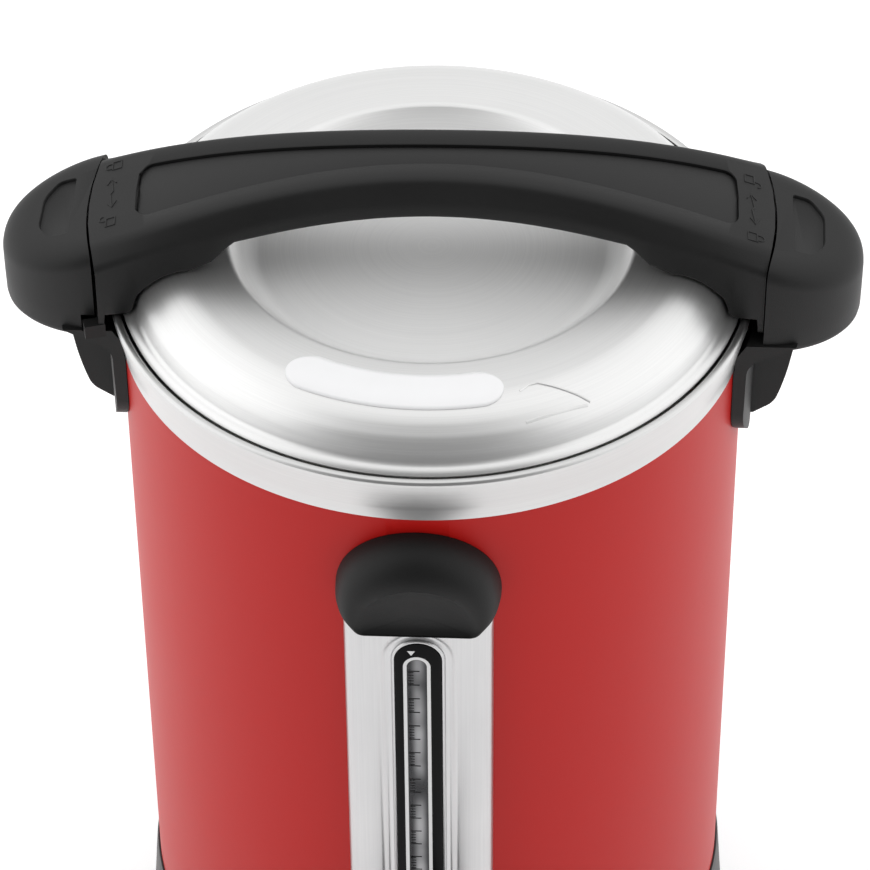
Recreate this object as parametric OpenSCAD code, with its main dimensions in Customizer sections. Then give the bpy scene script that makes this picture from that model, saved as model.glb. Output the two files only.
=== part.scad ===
// Electric hot-water boiler for tea and coffee service: a double-walled steel
// body with a locking lid, a sight gauge, a self-closing tap and a control base.
// Millimetres, +Z up.  The origin is the centre of the foot, on the tank's axis;
// the gauge, the tap and the controls face -Y.

/* [Body] */
// Height of the rim collar's lower edge above the table
collar_z = 360; // [340:1:420]
// Outside diameter of the painted shell
shell_d = 245; // [236:1:256]
// Sheet thickness of the painted shell
shell_t = 0.8; // [0.6:0.1:1.2]
// Air gap between the shell and the inner tank
tank_gap = 11.7; // [11:0.1:14]
// Sheet thickness of the inner tank
tank_t = 0.8; // [0.6:0.1:1.2]
// Height of the underside of the tank's floor
tank_floor_z = 86; // [80:1:96]

/* [Rim collar] */
// Height of the collar
collar_h = 22; // [20:0.5:26]
// How far the collar's lip stands out beyond the shell
collar_out = 6.7; // [6:0.1:8]
// Height of the ledge that carries the tank's flange, above the collar's foot
ledge_h = 12; // [11:0.5:13]

/* [Base] */
// Height of the ledge that the shell stands on
base_h = 58; // [52:1:66]
// Wall thickness of the base moulding
base_wall = 3; // [2.5:0.1:4]
// How much wider the base is at its foot than at its top, on each side
base_flare = 4; // [2:0.5:6]
// Height of the rubber foot below the base plate
foot_h = 6; // [5.5:0.5:9]
// Outside diameter of the rubber foot
foot_d = 224; // [216:1:230]
// Width of the rubber foot
foot_w = 14; // [10:1:18]
// Thickness of the steel base plate
plate_t = 1.2; // [1:0.1:2]
// Width of the control housing
housing_w = 120; // [114:1:130]
// How far the control housing stands out beyond the shell
housing_out = 13; // [11:0.5:18]

/* [Lid] */
// Sheet thickness of the lid pan
lid_t = 0.8; // [0.6:0.1:1]
// Diameter of the dish in the middle of the lid
dish_d = 158; // [150:1:162]
// Height of the dish's floor above the collar's foot
dish_z = 31; // [29:0.5:33]
// Height of the raised ring round the dish above the dish's floor
crest_rise = 9; // [8:0.5:10]
// Depth of the lid's inner pan below the seal
liner_depth = 17; // [14:0.5:24]
// Turn of the lid from the grips when it stands at rest, in degrees
lid_rest_turn = 1.5; // [0:0.1:2]
// Height of the silicone seal
seal_h = 5.3; // [4.8:0.1:5.8]

/* [Bridge handle] */
// Height of the bridge's top above the collar's foot
bridge_rise = 76.4; // [72:0.2:82]
// Width of the bridge at its middle
bridge_w = 38; // [36:0.5:42]
// Width of the bridge over its legs
leg_w = 70; // [68:0.5:71]
// Thickness of the bridge at its middle
bridge_t = 17.9; // [16:0.1:19]
// Running gap between the turning lid and the fixed parts round it
turn_gap = 0.4; // [0.35:0.05:0.6]
// Length of the inlay in the bridge's top
inlay_l = 230; // [222:1:244]
// Depth of the inlay's face below the bridge's top
inlay_drop = 1.4; // [1:0.1:2]
// Thickness of the inlay
inlay_t = 2; // [1.5:0.1:3]
// Height of the locking lug
lug_h = 6; // [5:0.1:6.4]
// How far the locking lug reaches out beyond the bridge's end
lug_reach = 5.6; // [5:0.1:6.4]
// Width of the locking lug along the rim, in degrees
lug_turn = 2.1; // [1.6:0.1:3]

/* [Grips] */
// Width of each side grip
grip_w = 66; // [62:0.5:68]
// Reach of each side grip beyond the bridge's end
grip_reach = 35.3; // [32:0.1:38]
// Height of the grip's top above the collar's foot, at the bridge
grip_top = 49; // [46:0.5:50]
// Height of the grip's underside above the collar's foot
grip_bottom = 8; // [7:0.5:9]
// Height of the shelf that the locking lug runs on, above the collar's foot
shelf_z = 12.3; // [12:0.1:12.6]
// Length of the grip's leg below the collar's foot, at its middle
leg_l = 42; // [40:1:50]
// Thickness of the grip's leg
leg_t = 4.9; // [4:0.1:6]
// Width of the web under the grip
web_w = 22; // [16:1:26]
// Diameter of the screws that hold the grips
grip_screw_d = 4; // [3:0.5:5]

/* [Gauge] */
// Width of the steel gauge cover
strip_w = 57; // [54:0.5:60]
// How far the gauge cover's face stands out beyond the shell
strip_out = 7.5; // [7:0.1:9]
// Sheet thickness of the gauge cover
strip_t = 0.8; // [0.6:0.1:1]
// Width of the gauge lens
lens_w = 18.2; // [17:0.1:20]
// Height of the lens's top below the collar's foot
lens_drop = 57.5; // [56:0.5:64]
// Height of the lens's lower end above the tap's axis
lens_over_tap = 28; // [26:1:40]
// Outside diameter of the sight tube
tube_d = 7.4; // [6.8:0.1:8]
// Wall thickness of the sight tube
tube_t = 1; // [0.8:0.1:1.3]
// Radius of the hood's round top
hood_r = 31.5; // [30:0.5:33]
// How far the hood stands out beyond the shell
hood_out = 17; // [15:0.5:20]

/* [Tap] */
// Height of the tap's axis
tap_z = 108; // [104:1:114]
// Distance from the gauge cover's face to the valve's axis
tap_reach = 38; // [34:1:46]
// Outside diameter of the valve chamber
chamber_d = 26; // [25:0.5:30]
// Wall thickness of the valve chamber
chamber_wall = 3; // [2.5:0.1:3.5]
// Bore of the spout
spout_d = 12; // [10:0.5:13]
// Length of the spout below the valve seat
spout_l = 18; // [14:1:22]
// Diameter of the valve stem
stem_d = 5; // [4:0.1:6]
// Diameter of the lever's pin
pin_d = 3; // [2.5:0.1:3.5]
// Length of the lever's handle in front of its pin
lever_l = 40; // [32:1:48]
// Clearance of a turning or sliding pin in its bore, on the radius
fit_gap = 0.05; // [0.02:0.01:0.09]
// Diameter of the valve spring's wire
spring_wire_d = 0.9; // [0.7:0.1:1.1]
// Turns of the valve spring
spring_turns = 5; // [4:1:6]

/* [Controls] */
// Height of the control panel's middle
panel_z = 33; // [31:0.5:34]
// Height of the control panel
panel_h = 44; // [42:0.5:45]
// Thickness of the control panel
panel_t = 2.4; // [2:0.1:3]
// Diameter of the thermostat knob
knob_d = 34; // [30:0.5:38]
// Depth of the thermostat knob
knob_l = 14; // [12:0.5:17]
// Distance of the knob and of the switch from the panel's middle
control_x = 33; // [31:0.5:34]
// Diameter of the thermostat's spindle
spindle_d = 6; // [5:0.1:6.5]
// Width of the rocker
rocker_w = 11.5; // [10:0.1:12]
// Length of the rocker
rocker_l = 19; // [17:0.5:20]
// Tilt of the rocker each side of level, in degrees
rocker_tilt = 9; // [7:0.5:11]
// Diameter of the lamp lenses
lamp_d = 8; // [7:0.5:9]
// Distance between the two lamps
lamp_pitch = 18; // [15:0.5:20]
// Width of the mains inlet's flange
inlet_w = 50; // [48:0.5:54]

/* [Hidden] */
$fn = 96;

// Colours
RED = "firebrick";
STEEL = "silver";
BLACK = [0.16, 0.16, 0.17];
RUBBER = [0.1, 0.1, 0.1];
ZINC = [0.75, 0.75, 0.72];

// Radii about the tank's axis
shell_r = shell_d / 2;
shell_in_r = shell_r - shell_t;
tank_r = shell_in_r - tank_gap;
band_r = shell_r + 0.4;
lip_r = shell_r + collar_out;
ledge_in_r = tank_r + 2;
collar_in_r = shell_r + 1.1;
flange_r = collar_in_r - 2.7;
lid_r = collar_in_r - 1.3;
bridge_r = lip_r + turn_gap + 2.6;
grip_in_r = bridge_r + 2 * turn_gap;

// Heights of the rim, above the table
ledge_z = collar_z + ledge_h;
flange_z = ledge_z + tank_t;
seat_gap = 0.3;
seat_skin = 0.03;
liner_t = 0.6;

// Length of a cutter that runs right through what it cuts
cut_l = 60;

// ---------------------------------------------------------------- helpers

function unit(v) = v / norm(v);

// One rounded corner at b, between a and c, as n + 1 points of an arc
function corner(a, b, c, radius, n) =
    let (
        u = unit(a - b),
        w = unit(c - b),
        half = acos(max(-1, min(1, u * w))) / 2,
        run = min(radius / tan(half), 0.49 * norm(a - b), 0.49 * norm(c - b)),
        r = run * tan(half),
        centre = b + unit(u + w) * norm([run, r]),
        from = b + u * run - centre,
        to = b + w * run - centre,
        start = atan2(from[1], from[0]),
        turn = atan2(to[1], to[0]) - start,
        sweep = turn > 180 ? turn - 360 : turn < -180 ? turn + 360 : turn
    )
    [for (k = [0:n]) centre + r * [cos(start + sweep * k / n), sin(start + sweep * k / n)]];

// A path [x, y, corner radius] with its corners rounded; closed or open
function rounded(path, n = 5, closed = true) =
    let (last = len(path) - 1)
    [for (i = [0:last])
        let (
            p = path[i],
            b = [p[0], p[1]],
            before = path[i == 0 ? last : i - 1],
            after = path[i == last ? 0 : i + 1],
            keep = p[2] == 0 || (!closed && (i == 0 || i == last))
        )
        each keep ? [b] : corner([before[0], before[1]], b, [after[0], after[1]], p[2], n)];

// An open path moved sideways by t, to its right
function beside(path, t) =
    let (last = len(path) - 1)
    [for (i = [0:last])
        let (
            a = i == 0 ? unit(path[1] - path[0]) : unit(path[i] - path[i - 1]),
            b = i == last ? a : unit(path[i + 1] - path[i]),
            n = unit([a[1] + b[1], -a[0] - b[0]])
        )
        path[i] + n * t / max(0.5, n * [a[1], -a[0]])];

function reversed(list) = [for (i = [len(list) - 1:-1:0]) list[i]];

// A closed sheet section from one face of it and its thickness
function sheet(path, t) = concat(path, reversed(beside(path, t)));

// A solid through rings of equal length.  Each end is closed by strips between
// the points of a ring that face each other across it.
module loft(rings) {
    n = len(rings[0]);
    last = len(rings) - 1;
    half = n / 2;
    sides = [for (i = [0:last - 1], j = [0:n - 1])
        let (a = i * n + j, b = i * n + (j + 1) % n)
        each [[a, b, b + n], [a, b + n, a + n]]];
    first = [for (j = [0:half - 2])
        each [[j, n - 2 - j, j + 1], [j, n - 1 - j, n - 2 - j]]];
    final = [for (f = first) [for (k = [0:2]) f[2 - k] + last * n]];
    polyhedron([for (ring = rings) each ring], concat(sides, first, final));
}

// A ring of rectangular section about Z
module ring(r_in, r_out, z, h) {
    translate([0, 0, z])
        rotate_extrude()
            translate([r_in, 0])
                square([r_out - r_in, h]);
}

// A part of a turned section, from angle a to angle b
module sector(points, a, b) {
    rotate([0, 0, a])
        rotate_extrude(angle = b - a)
            polygon(points);
}

// A cylinder along -Y from y = from to y = to, both counted outward
module along_front(r, from, to, x = 0, z = 0) {
    translate([x, -from, z])
        rotate([90, 0, 0])
            cylinder(r = r, h = to - from);
}

// A stadium-shaped plate in the front, centred on x = 0
module front_stadium(w, z_low, z_high, from, to) {
    translate([0, -from, 0])
        rotate([90, 0, 0])
            linear_extrude(to - from)
                union() {
                    translate([-w / 2, z_low + w / 2])
                        square([w, z_high - z_low - w]);
                    translate([0, z_low + w / 2])
                        circle(d = w);
                    translate([0, z_high - w / 2])
                        circle(d = w);
                }
}

// A round-headed screw along +Z with its head below z = 0
module screw(d, l) {
    head_h = 0.6 * d;
    translate([0, 0, -head_h])
        cylinder(d = 2 * d, h = head_h);
    translate([0, 0, -0.01])
        cylinder(d = d, h = l);
}

// ---------------------------------------------------------------- base

plate_z = foot_h;
plate_margin = 9.5;
plate_r = foot_d / 2 + plate_margin;
base_top_r = shell_r + 1.5;
base_foot_z = foot_h - 2;
base_lip_h = 4;
base_ledge_t = 3;
housing_y = shell_r + housing_out;
housing_top = base_h + 2;
rebate_gap = 0.3;
tie_r = foot_d / 2 - foot_w - 20;
tie_d = 4;
TIES = [90, 210, 330];
nut_h = 3;

module foot_ring() {
    edge = 1.5;
    out = foot_d / 2;
    color(RUBBER)
        rotate_extrude()
            polygon([[out - foot_w + edge, 0], [out - edge, 0], [out, edge], [out, foot_h],
                [out - foot_w, foot_h], [out - foot_w, edge]]);
}

module base_plate() {
    color(ZINC)
        difference() {
            translate([0, 0, plate_z])
                cylinder(r = plate_r, h = plate_t);
            for (a = TIES)
                rotate([0, 0, a])
                    translate([tie_r, 0, plate_z - 1])
                        cylinder(d = tie_d + 0.4, h = plate_t + 2);
        }
}

// Outline of the control housing seen from above, grown by g
function housing_plan(g) =
    let (w = housing_w / 2 + g, corner_r = 10 + g)
    rounded([[-w, -shell_r * 0.8, 0], [-w, -housing_y - g, corner_r],
        [w, -housing_y - g, corner_r], [w, -shell_r * 0.8, 0]]);

window_w = 2 * control_x + 34;
window_h = panel_h - 8;
inlet_z = base_h / 2 + 3;
inlet_h = 26;
pad_y = base_top_r + base_flare + 0.6;
pad_l = 20;

module base_moulding() {
    z0 = base_foot_z;
    z1 = base_h + base_lip_h;
    flare_r = base_top_r + base_flare;
    foot_r = plate_r + base_wall + 3.5;
    inner_foot_r = flare_r - base_wall;
    inner_top_r = base_top_r - base_wall - 0.4;
    plate_seat_r = plate_r - 5;
    seat_in_r = shell_r - 6;
    seat_top = plate_z + plate_t;
    color(BLACK)
        difference() {
            union() {
                rotate_extrude()
                    polygon(concat([[0, z0]], rounded([[foot_r, z0, 2], [flare_r - 0.6, z0 + 12, 8],
                        [base_top_r, z1 - 4, 3], [base_top_r - 0.6, z1, 0]], closed = false),
                        [[0, z1]]));
                translate([0, 0, z0])
                    linear_extrude(housing_top - z0)
                        polygon(housing_plan(0));
                translate([-inlet_w / 2 - 3, pad_y - pad_l, inlet_z - inlet_h / 2 - 3])
                    cube([inlet_w + 6, pad_l, inlet_h + 6]);
            }
            // rebate for the base plate
            translate([0, 0, z0 - 1])
                cylinder(r = plate_r + rebate_gap, h = seat_top - z0 + 1);
            // inside, with a step that carries the base plate
            rotate_extrude()
                polygon([[0, z0 - 1], [plate_seat_r, z0 - 1], [plate_seat_r, seat_top + 2.5],
                    [inner_foot_r - 0.6, seat_top + 2.5], [inner_top_r, base_h - base_ledge_t],
                    [seat_in_r, base_h - base_ledge_t], [seat_in_r, z1 + 1], [0, z1 + 1]]);
            // seat of the shell
            translate([0, 0, base_h])
                cylinder(r = shell_r + rebate_gap / 2, h = z1);
            // inside of the control housing
            translate([0, 0, seat_top + 2.5])
                linear_extrude(base_h - base_ledge_t - seat_top - 2.5)
                    polygon(housing_plan(-base_wall));
            // room for the foot of the gauge cover
            translate([-strip_w / 2 - rebate_gap, -strip_y - 1, housing_top])
                cube([strip_w + 2 * rebate_gap, strip_y, base_lip_h]);
            // window behind the control panel
            translate([-window_w / 2, -housing_y - 1, panel_z - window_h / 2])
                cube([window_w, housing_out + 1, window_h]);
            // hole for the inlet's body
            translate([-inlet_body_w / 2 - 0.3, pad_y - cut_l / 2, inlet_z - inlet_body_h / 2 - 0.3])
                cube([inlet_body_w + 0.6, cut_l, inlet_body_h + 0.6]);
            inlet_screw_places()
                translate([0, 0, -1])
                    cylinder(d = inlet_screw_d, h = cut_l / 2);
            panel_screw_places()
                translate([0, 0, -1])
                    cylinder(d = panel_screw_d, h = panel_screw_l + 1);
        }
}

module tie_rods() {
    color(ZINC)
        for (a = TIES)
            rotate([0, 0, a])
                translate([tie_r, 0, plate_z - nut_h - 0.5])
                    cylinder(d = tie_d, h = tank_floor_z - heat_plate_t - plate_z + nut_h + 0.5);
}

module base_nuts() {
    color(ZINC)
        for (a = TIES)
            rotate([0, 0, a])
                translate([tie_r, 0, plate_z - nut_h])
                    difference() {
                        cylinder(d = 2 * tie_d, h = nut_h, $fn = 6);
                        translate([0, 0, -1])
                            cylinder(d = tie_d, h = nut_h + 2);
                    }
}

// ---------------------------------------------------------------- shell, rim and tank

slot_w = lens_w + 2;
slot_top = collar_z - lens_drop + 16;
screw_zs = [collar_z - 15, collar_z - 33];
spigot_l = 10;

module outer_shell() {
    color(RED)
        difference() {
            ring(shell_in_r, shell_r, base_h, collar_z - base_h);
            along_front(shank_r + 0.3, 0, shell_r + 5, z = tap_z);
            translate([-slot_w / 2, -shell_r - 5, tap_z])
                cube([slot_w, cut_l / 2, slot_top - tap_z]);
            for (z = screw_zs)
                translate([-shell_r - 5, 0, z])
                    rotate([0, 90, 0])
                        cylinder(d = grip_screw_d + 0.4, h = shell_d + 10);
        }
}

module rim_collar() {
    top = collar_h;
    flare_z = top - 5.5;
    spigot_r = shell_in_r - 0.2;
    color(STEEL)
        translate([0, 0, collar_z])
            rotate_extrude()
                polygon(rounded([
                    [band_r, 0, 0],
                    [band_r, flare_z * 0.62, 9],
                    [lip_r - 1, flare_z * 0.86, 4],
                    [lip_r, top - 3.2, 2],
                    [lip_r - 1.2, top, 2],
                    [collar_in_r + 1, top, 0.6],
                    [collar_in_r, top - 0.8, 0],
                    [collar_in_r, ledge_h, 0],
                    [ledge_in_r, ledge_h, 0],
                    [ledge_in_r, ledge_h - 2, 0],
                    [spigot_r - 2, ledge_h - 2, 1],
                    [spigot_r - 2, -spigot_l, 0],
                    [spigot_r, -spigot_l, 0],
                    [spigot_r, 0, 0]]));
}

module inner_tank() {
    floor_r = tank_r - 6;
    color(STEEL)
        difference() {
            translate([0, 0, tank_floor_z])
                rotate_extrude()
                    polygon(concat([[0, 0]],
                        rounded([[tank_r, 0, 6], [tank_r, flange_z - tank_t - tank_floor_z, 0]],
                            closed = false),
                        [[flange_r, ledge_z - tank_floor_z], [flange_r, flange_z - tank_floor_z],
                        [tank_r - tank_t, flange_z - tank_floor_z]],
                        [[tank_r - tank_t, 6], [tank_r - tank_t - 1.5, 2.4],
                        [floor_r - tank_t, tank_t], [0, tank_t]]));
            along_front(shank_in_r + 0.3, 0, shell_r, z = tap_z);
        }
}

// ---------------------------------------------------------------- heating and wiring

heat_plate_t = 4;
element_r = 4;
element_ring_r = tie_r - 18;
element_gap = 40;
element_z = tank_floor_z - heat_plate_t - element_r;

module heat_plate() {
    color(ZINC)
        translate([0, 0, tank_floor_z - heat_plate_t])
            cylinder(r = tie_r + 8, h = heat_plate_t);
}

module heating_element() {
    end_l = 14;
    color(STEEL)
        translate([0, 0, element_z]) {
            rotate([0, 0, 90 + element_gap / 2])
                rotate_extrude(angle = 360 - element_gap)
                    translate([element_ring_r, 0])
                        circle(r = element_r);
            for (a = [90 - element_gap / 2, 90 + element_gap / 2])
                rotate([0, 0, a])
                    translate([element_ring_r, 0, -end_l])
                        cylinder(r = element_r, h = end_l);
        }
}

cutout_d = 18;
cutout_h = 8;

module thermal_cutout() {
    z = tank_floor_z - heat_plate_t;
    color(BLACK)
        translate([element_ring_r * 0.45, 0, 0]) {
            translate([0, 0, z - cutout_h])
                cylinder(d = cutout_d, h = cutout_h);
            for (y = [-4, 4])
                translate([-3, y - 0.4, z - cutout_h - 8])
                    cube([6, 0.8, 9]);
        }
}

module terminal_block() {
    w = 42;
    d = 20;
    h = 14;
    ways = 4;
    color("ivory")
        translate([-w / 2, tie_r - 30, plate_z + plate_t])
            difference() {
                cube([w, d, h]);
                for (i = [0:ways - 1])
                    translate([w * (i + 0.5) / ways, -1, h / 2])
                        rotate([-90, 0, 0])
                            cylinder(d = 5, h = d + 2);
            }
}

inlet_body_w = 29;
inlet_body_h = 21;
inlet_cavity_w = 24.5;
inlet_cavity_h = 16.8;
inlet_cavity_l = 16;
inlet_l = 22;
inlet_flange_t = 3;
inlet_screw_d = 3;
inlet_pin_l = 14;

module inlet_screw_places() {
    for (side = [-1, 1])
        translate([side * (inlet_w / 2 - 5), pad_y + inlet_flange_t, inlet_z])
            rotate([90, 0, 0])
                children();
}

module power_inlet() {
    face_y = pad_y + inlet_flange_t;
    color(BLACK)
        difference() {
            union() {
                translate([-inlet_w / 2, pad_y, inlet_z - inlet_h / 2])
                    cube([inlet_w, inlet_flange_t, inlet_h]);
                translate([-inlet_body_w / 2, pad_y - inlet_l, inlet_z - inlet_body_h / 2])
                    cube([inlet_body_w, inlet_l + 0.5, inlet_body_h]);
            }
            translate([-inlet_cavity_w / 2, face_y - inlet_cavity_l, inlet_z - inlet_cavity_h / 2])
                cube([inlet_cavity_w, inlet_cavity_l + 1, inlet_cavity_h]);
            inlet_screw_places()
                translate([0, 0, -1])
                    cylinder(d = inlet_screw_d + 0.4, h = cut_l / 2);
        }
    color(ZINC)
        for (pin = [[-7, -2], [7, -2], [0, 2]])
            translate([pin[0] - 1, face_y - inlet_cavity_l - 1, inlet_z + pin[1] - 2])
                cube([2, inlet_pin_l, 4]);
}

module inlet_screws() {
    color(ZINC)
        inlet_screw_places()
            screw(inlet_screw_d, 12);
}

// ---------------------------------------------------------------- controls

panel_w = housing_w - 10;
panel_y = housing_y + panel_t;
panel_screw_d = 3;
panel_screw_l = 8;
lamp_zs = [panel_z - lamp_pitch / 2, panel_z + lamp_pitch / 2];
thermostat_w = 28;
thermostat_l = 24;

// The panel's screws point inward, from the panel's face
module panel_screw_places() {
    for (x = [-1, 1], z = [-1, 1])
        translate([x * (panel_w / 2 - 5), -panel_y, panel_z + z * (panel_h / 2 - 5)])
            rotate([-90, 0, 0])
                children();
}

// A rounded plate facing front
module front_plate(w, h, r, from, to, z) {
    translate([0, -from, z])
        rotate([90, 0, 0])
            linear_extrude(to - from)
                polygon(rounded([[-w / 2, -h / 2, r], [w / 2, -h / 2, r], [w / 2, h / 2, r],
                    [-w / 2, h / 2, r]]));
}

module control_panel() {
    color(BLACK)
        difference() {
            front_plate(panel_w, panel_h, 6, housing_y, panel_y, panel_z);
            along_front(spindle_d / 2 + 1, housing_y - 1, panel_y + 1, x = control_x, z = panel_z);
            for (z = lamp_zs)
                along_front(lamp_d / 2, housing_y - 1, panel_y + 1, z = z);
            translate([-control_x, 0, 0])
                front_plate(bezel_body_w, bezel_body_l, 1, housing_y - 1, panel_y + 1, panel_z);
            panel_screw_places()
                translate([0, 0, -1])
                    cylinder(d = panel_screw_d, h = panel_t + 2);
        }
}

module panel_screws() {
    color(ZINC)
        panel_screw_places()
            screw(panel_screw_d, panel_screw_l);
}

module lamp_lenses() {
    dome = 1.6;
    color("orangered")
        for (z = lamp_zs) {
            along_front(lamp_d / 2, housing_y - 8, panel_y + 0.5, z = z);
            translate([0, -panel_y - 0.5, z])
                intersection() {
                    translate([0, lamp_d * 0.9, 0])
                        sphere(r = lamp_d * 0.9 + dome);
                    rotate([90, 0, 0])
                        cylinder(r = lamp_d / 2 - 0.2, h = 4);
                }
        }
}

bezel_wall = 2;
rocker_gap = 0.6;
bezel_body_w = rocker_w + 2 * (rocker_gap + bezel_wall);
bezel_body_l = rocker_l + 2 * (rocker_gap + bezel_wall);
bezel_flange = 2;
bezel_t = 1.8;
switch_l = 20;
rocker_axis_y = panel_y - 2;
rocker_pin_d = 3;

// Frame and body of the switch, open in front
module switch_bezel() {
    color(BLACK)
        translate([-control_x, 0, 0])
            difference() {
                union() {
                    front_plate(bezel_body_w + 2 * bezel_flange, bezel_body_l + 2 * bezel_flange, 2,
                        panel_y, panel_y + bezel_t, panel_z);
                    front_plate(bezel_body_w, bezel_body_l, 1, panel_y - switch_l, panel_y + 0.2, panel_z);
                }
                front_plate(rocker_w + 2 * rocker_gap, rocker_l + 2 * rocker_gap, 0.4,
                    rocker_axis_y - rocker_l / 2 - 1.5, panel_y + bezel_t + 1, panel_z);
                translate([0, -rocker_axis_y, panel_z])
                    rotate([0, 90, 0])
                        cylinder(d = rocker_pin_d + 2 * fit_gap, h = bezel_body_w - 1.6, center = true);
            }
}

// The rocker: two flats meeting over its pivot, drawn tipped to its OFF side
module switch_rocker() {
    half = rocker_l / 2;
    rise = half * tan(rocker_tilt);
    proud = 3.4;
    profile = rounded([[-half, proud, 1.2], [0, proud - rise, 0], [half, proud, 1.2],
        [half - 1.6, -3, 1], [3, -6, 1], [-3, -6, 1], [-half + 1.6, -3, 1]], n = 3);
    color([0.1, 0.1, 0.1])
        translate([-control_x, -rocker_axis_y, panel_z])
            rotate([-rocker_tilt, 0, 0]) {
                rotate([90, 0, 0])
                    rotate([90, 0, 90])
                        translate([0, 0, -rocker_w / 2])
                            linear_extrude(rocker_w)
                                polygon(profile);
                rotate([0, 90, 0])
                    cylinder(d = rocker_pin_d, h = rocker_w + 2 * rocker_gap + 1.6, center = true);
            }
}

module thermostat_body() {
    color(ZINC)
        difference() {
            translate([control_x - thermostat_w / 2, -housing_y, panel_z - thermostat_w / 2])
                cube([thermostat_w, thermostat_l, thermostat_w]);
            along_front(spindle_d / 2 + fit_gap, housing_y - thermostat_l / 2, housing_y + 1,
                x = control_x, z = panel_z);
        }
}

knob_gap = 0.4;

module thermostat_spindle() {
    color(ZINC)
        along_front(spindle_d / 2, housing_y - thermostat_l / 2 + 0.3, panel_y + knob_gap + knob_l - 4,
            x = control_x, z = panel_z);
}

module thermostat_knob() {
    r = knob_d / 2;
    flutes = 20;
    color(BLACK)
        translate([control_x, -panel_y - knob_gap, panel_z])
            rotate([90, 0, 0])
                difference() {
                    rotate_extrude()
                        polygon(rounded([[0, 0, 0], [r + 2, 0, 0.8], [r + 2, 2.4, 1], [r, 4, 1],
                            [r - 1.2, knob_l, 2], [0, knob_l, 0]]));
                    translate([0, 0, -1])
                        cylinder(d = spindle_d, h = knob_l - 3);
                    for (i = [0:flutes - 1])
                        rotate([0, 0, 360 * i / flutes])
                            translate([r + 0.6, 0, 5])
                                cylinder(r = 1.4, h = knob_l);
                }
}

// ---------------------------------------------------------------- sight gauge

strip_y = shell_r + strip_out;
lens_top = collar_z - lens_drop;
lens_low = tap_z + lens_over_tap;
bezel_w = lens_w + 8.2;
press_depth = strip_t;
tube_y = shell_r - 0.5;
tube_r = tube_d / 2;
channel_w = 12;
channel_wall = 1.2;
channel_back_y = tube_y - tube_r - channel_wall - 0.1;
lens_back_y = strip_y - press_depth - strip_t;
strip_top = collar_z - 34;

// Folded steel channel over the gauge, from the base to the hood
module gauge_cover() {
    w = strip_w / 2;
    foot_y = sqrt(pow(shell_r + 0.2, 2) - w * w);
    outline = rounded([[-w, -foot_y, 0], [-w, -strip_y, 5], [w, -strip_y, 5], [w, -foot_y, 0]],
        closed = false, n = 6);
    color(STEEL)
        difference() {
            union() {
                difference() {
                    translate([0, 0, housing_top])
                        linear_extrude(strip_top - housing_top)
                            polygon(sheet(outline, -strip_t));
                    front_stadium(bezel_w, lens_low - 4.1, lens_top + 4.1, strip_y - 5, strip_y + 1);
                }
                difference() {
                    front_stadium(bezel_w + 2 * strip_t, lens_low - 4.1 - strip_t, lens_top + 4.1 + strip_t,
                        strip_y - press_depth - strip_t, strip_y - press_depth);
                    front_stadium(lens_w - 3, lens_low + 1.5, lens_top - 1.5, strip_y - 6, strip_y + 1);
                }
            }
            along_front(shank_r + 0.3, strip_y - 20, strip_y + 5, z = tap_z);
        }
}

module gauge_lens() {
    color([0.05, 0.05, 0.06])
        front_stadium(lens_w, lens_low, lens_top, strip_y - press_depth, strip_y - press_depth + 1);
}

// White channel behind the sight tube, clipped to the back of the cover
module scale_plate() {
    z_low = lens_low - 6;
    h = lens_top + 4 - z_low;
    half = channel_w / 2;
    color("white")
        translate([0, 0, z_low])
            linear_extrude(h)
                polygon([[-half, -channel_back_y], [half, -channel_back_y], [half, -lens_back_y],
                    [half - channel_wall, -lens_back_y],
                    [half - channel_wall, -channel_back_y - channel_wall],
                    [-half + channel_wall, -channel_back_y - channel_wall],
                    [-half + channel_wall, -lens_back_y], [-half, -lens_back_y]]);
}

tube_low = tap_z + 11;
tube_top = lens_top + 5;
plug_h = 9;
socket_top = tap_z + 20;

module sight_tube() {
    color("lightcyan")
        translate([0, -tube_y, 0])
            ring(tube_r - tube_t, tube_r, tube_low, tube_top - tube_low);
}

module tube_top_plug() {
    color(RUBBER)
        difference() {
            translate([0, -tube_y, tube_top - 0.6])
                cylinder(r = tube_r - tube_t - 0.1, h = 4);
            translate([0, -tube_y, 0])
                cylinder(r = 1, h = collar_z);
        }
    color(RUBBER)
        difference() {
            translate([-7, -lens_back_y, tube_top])
                cube([14, lens_back_y - tank_r - 0.5, plug_h]);
            translate([0, -tube_y, 0])
                cylinder(r = 1, h = collar_z);
            cylinder(r = tank_r + 0.4, h = collar_z);
        }
}

module tube_grommet() {
    color(RUBBER)
        translate([0, -tube_y, 0]) {
            ring(tube_r + 0.05, tube_r + 1.4, tube_low, socket_top - tube_low);
            ring(tube_r + 0.05, socket_r, socket_top, 1.6);
        }
}

// Hood over the top of the gauge cover: arch-shaped rings that rise from the
// shell to a crest, with a front scooped out below the crest
hood_low = 48.5;
hood_centre = 38;
hood_crest_r = 20;
hood_scoop = 2;
hood_steps = 7;
hood_gap = 0.25;

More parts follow.
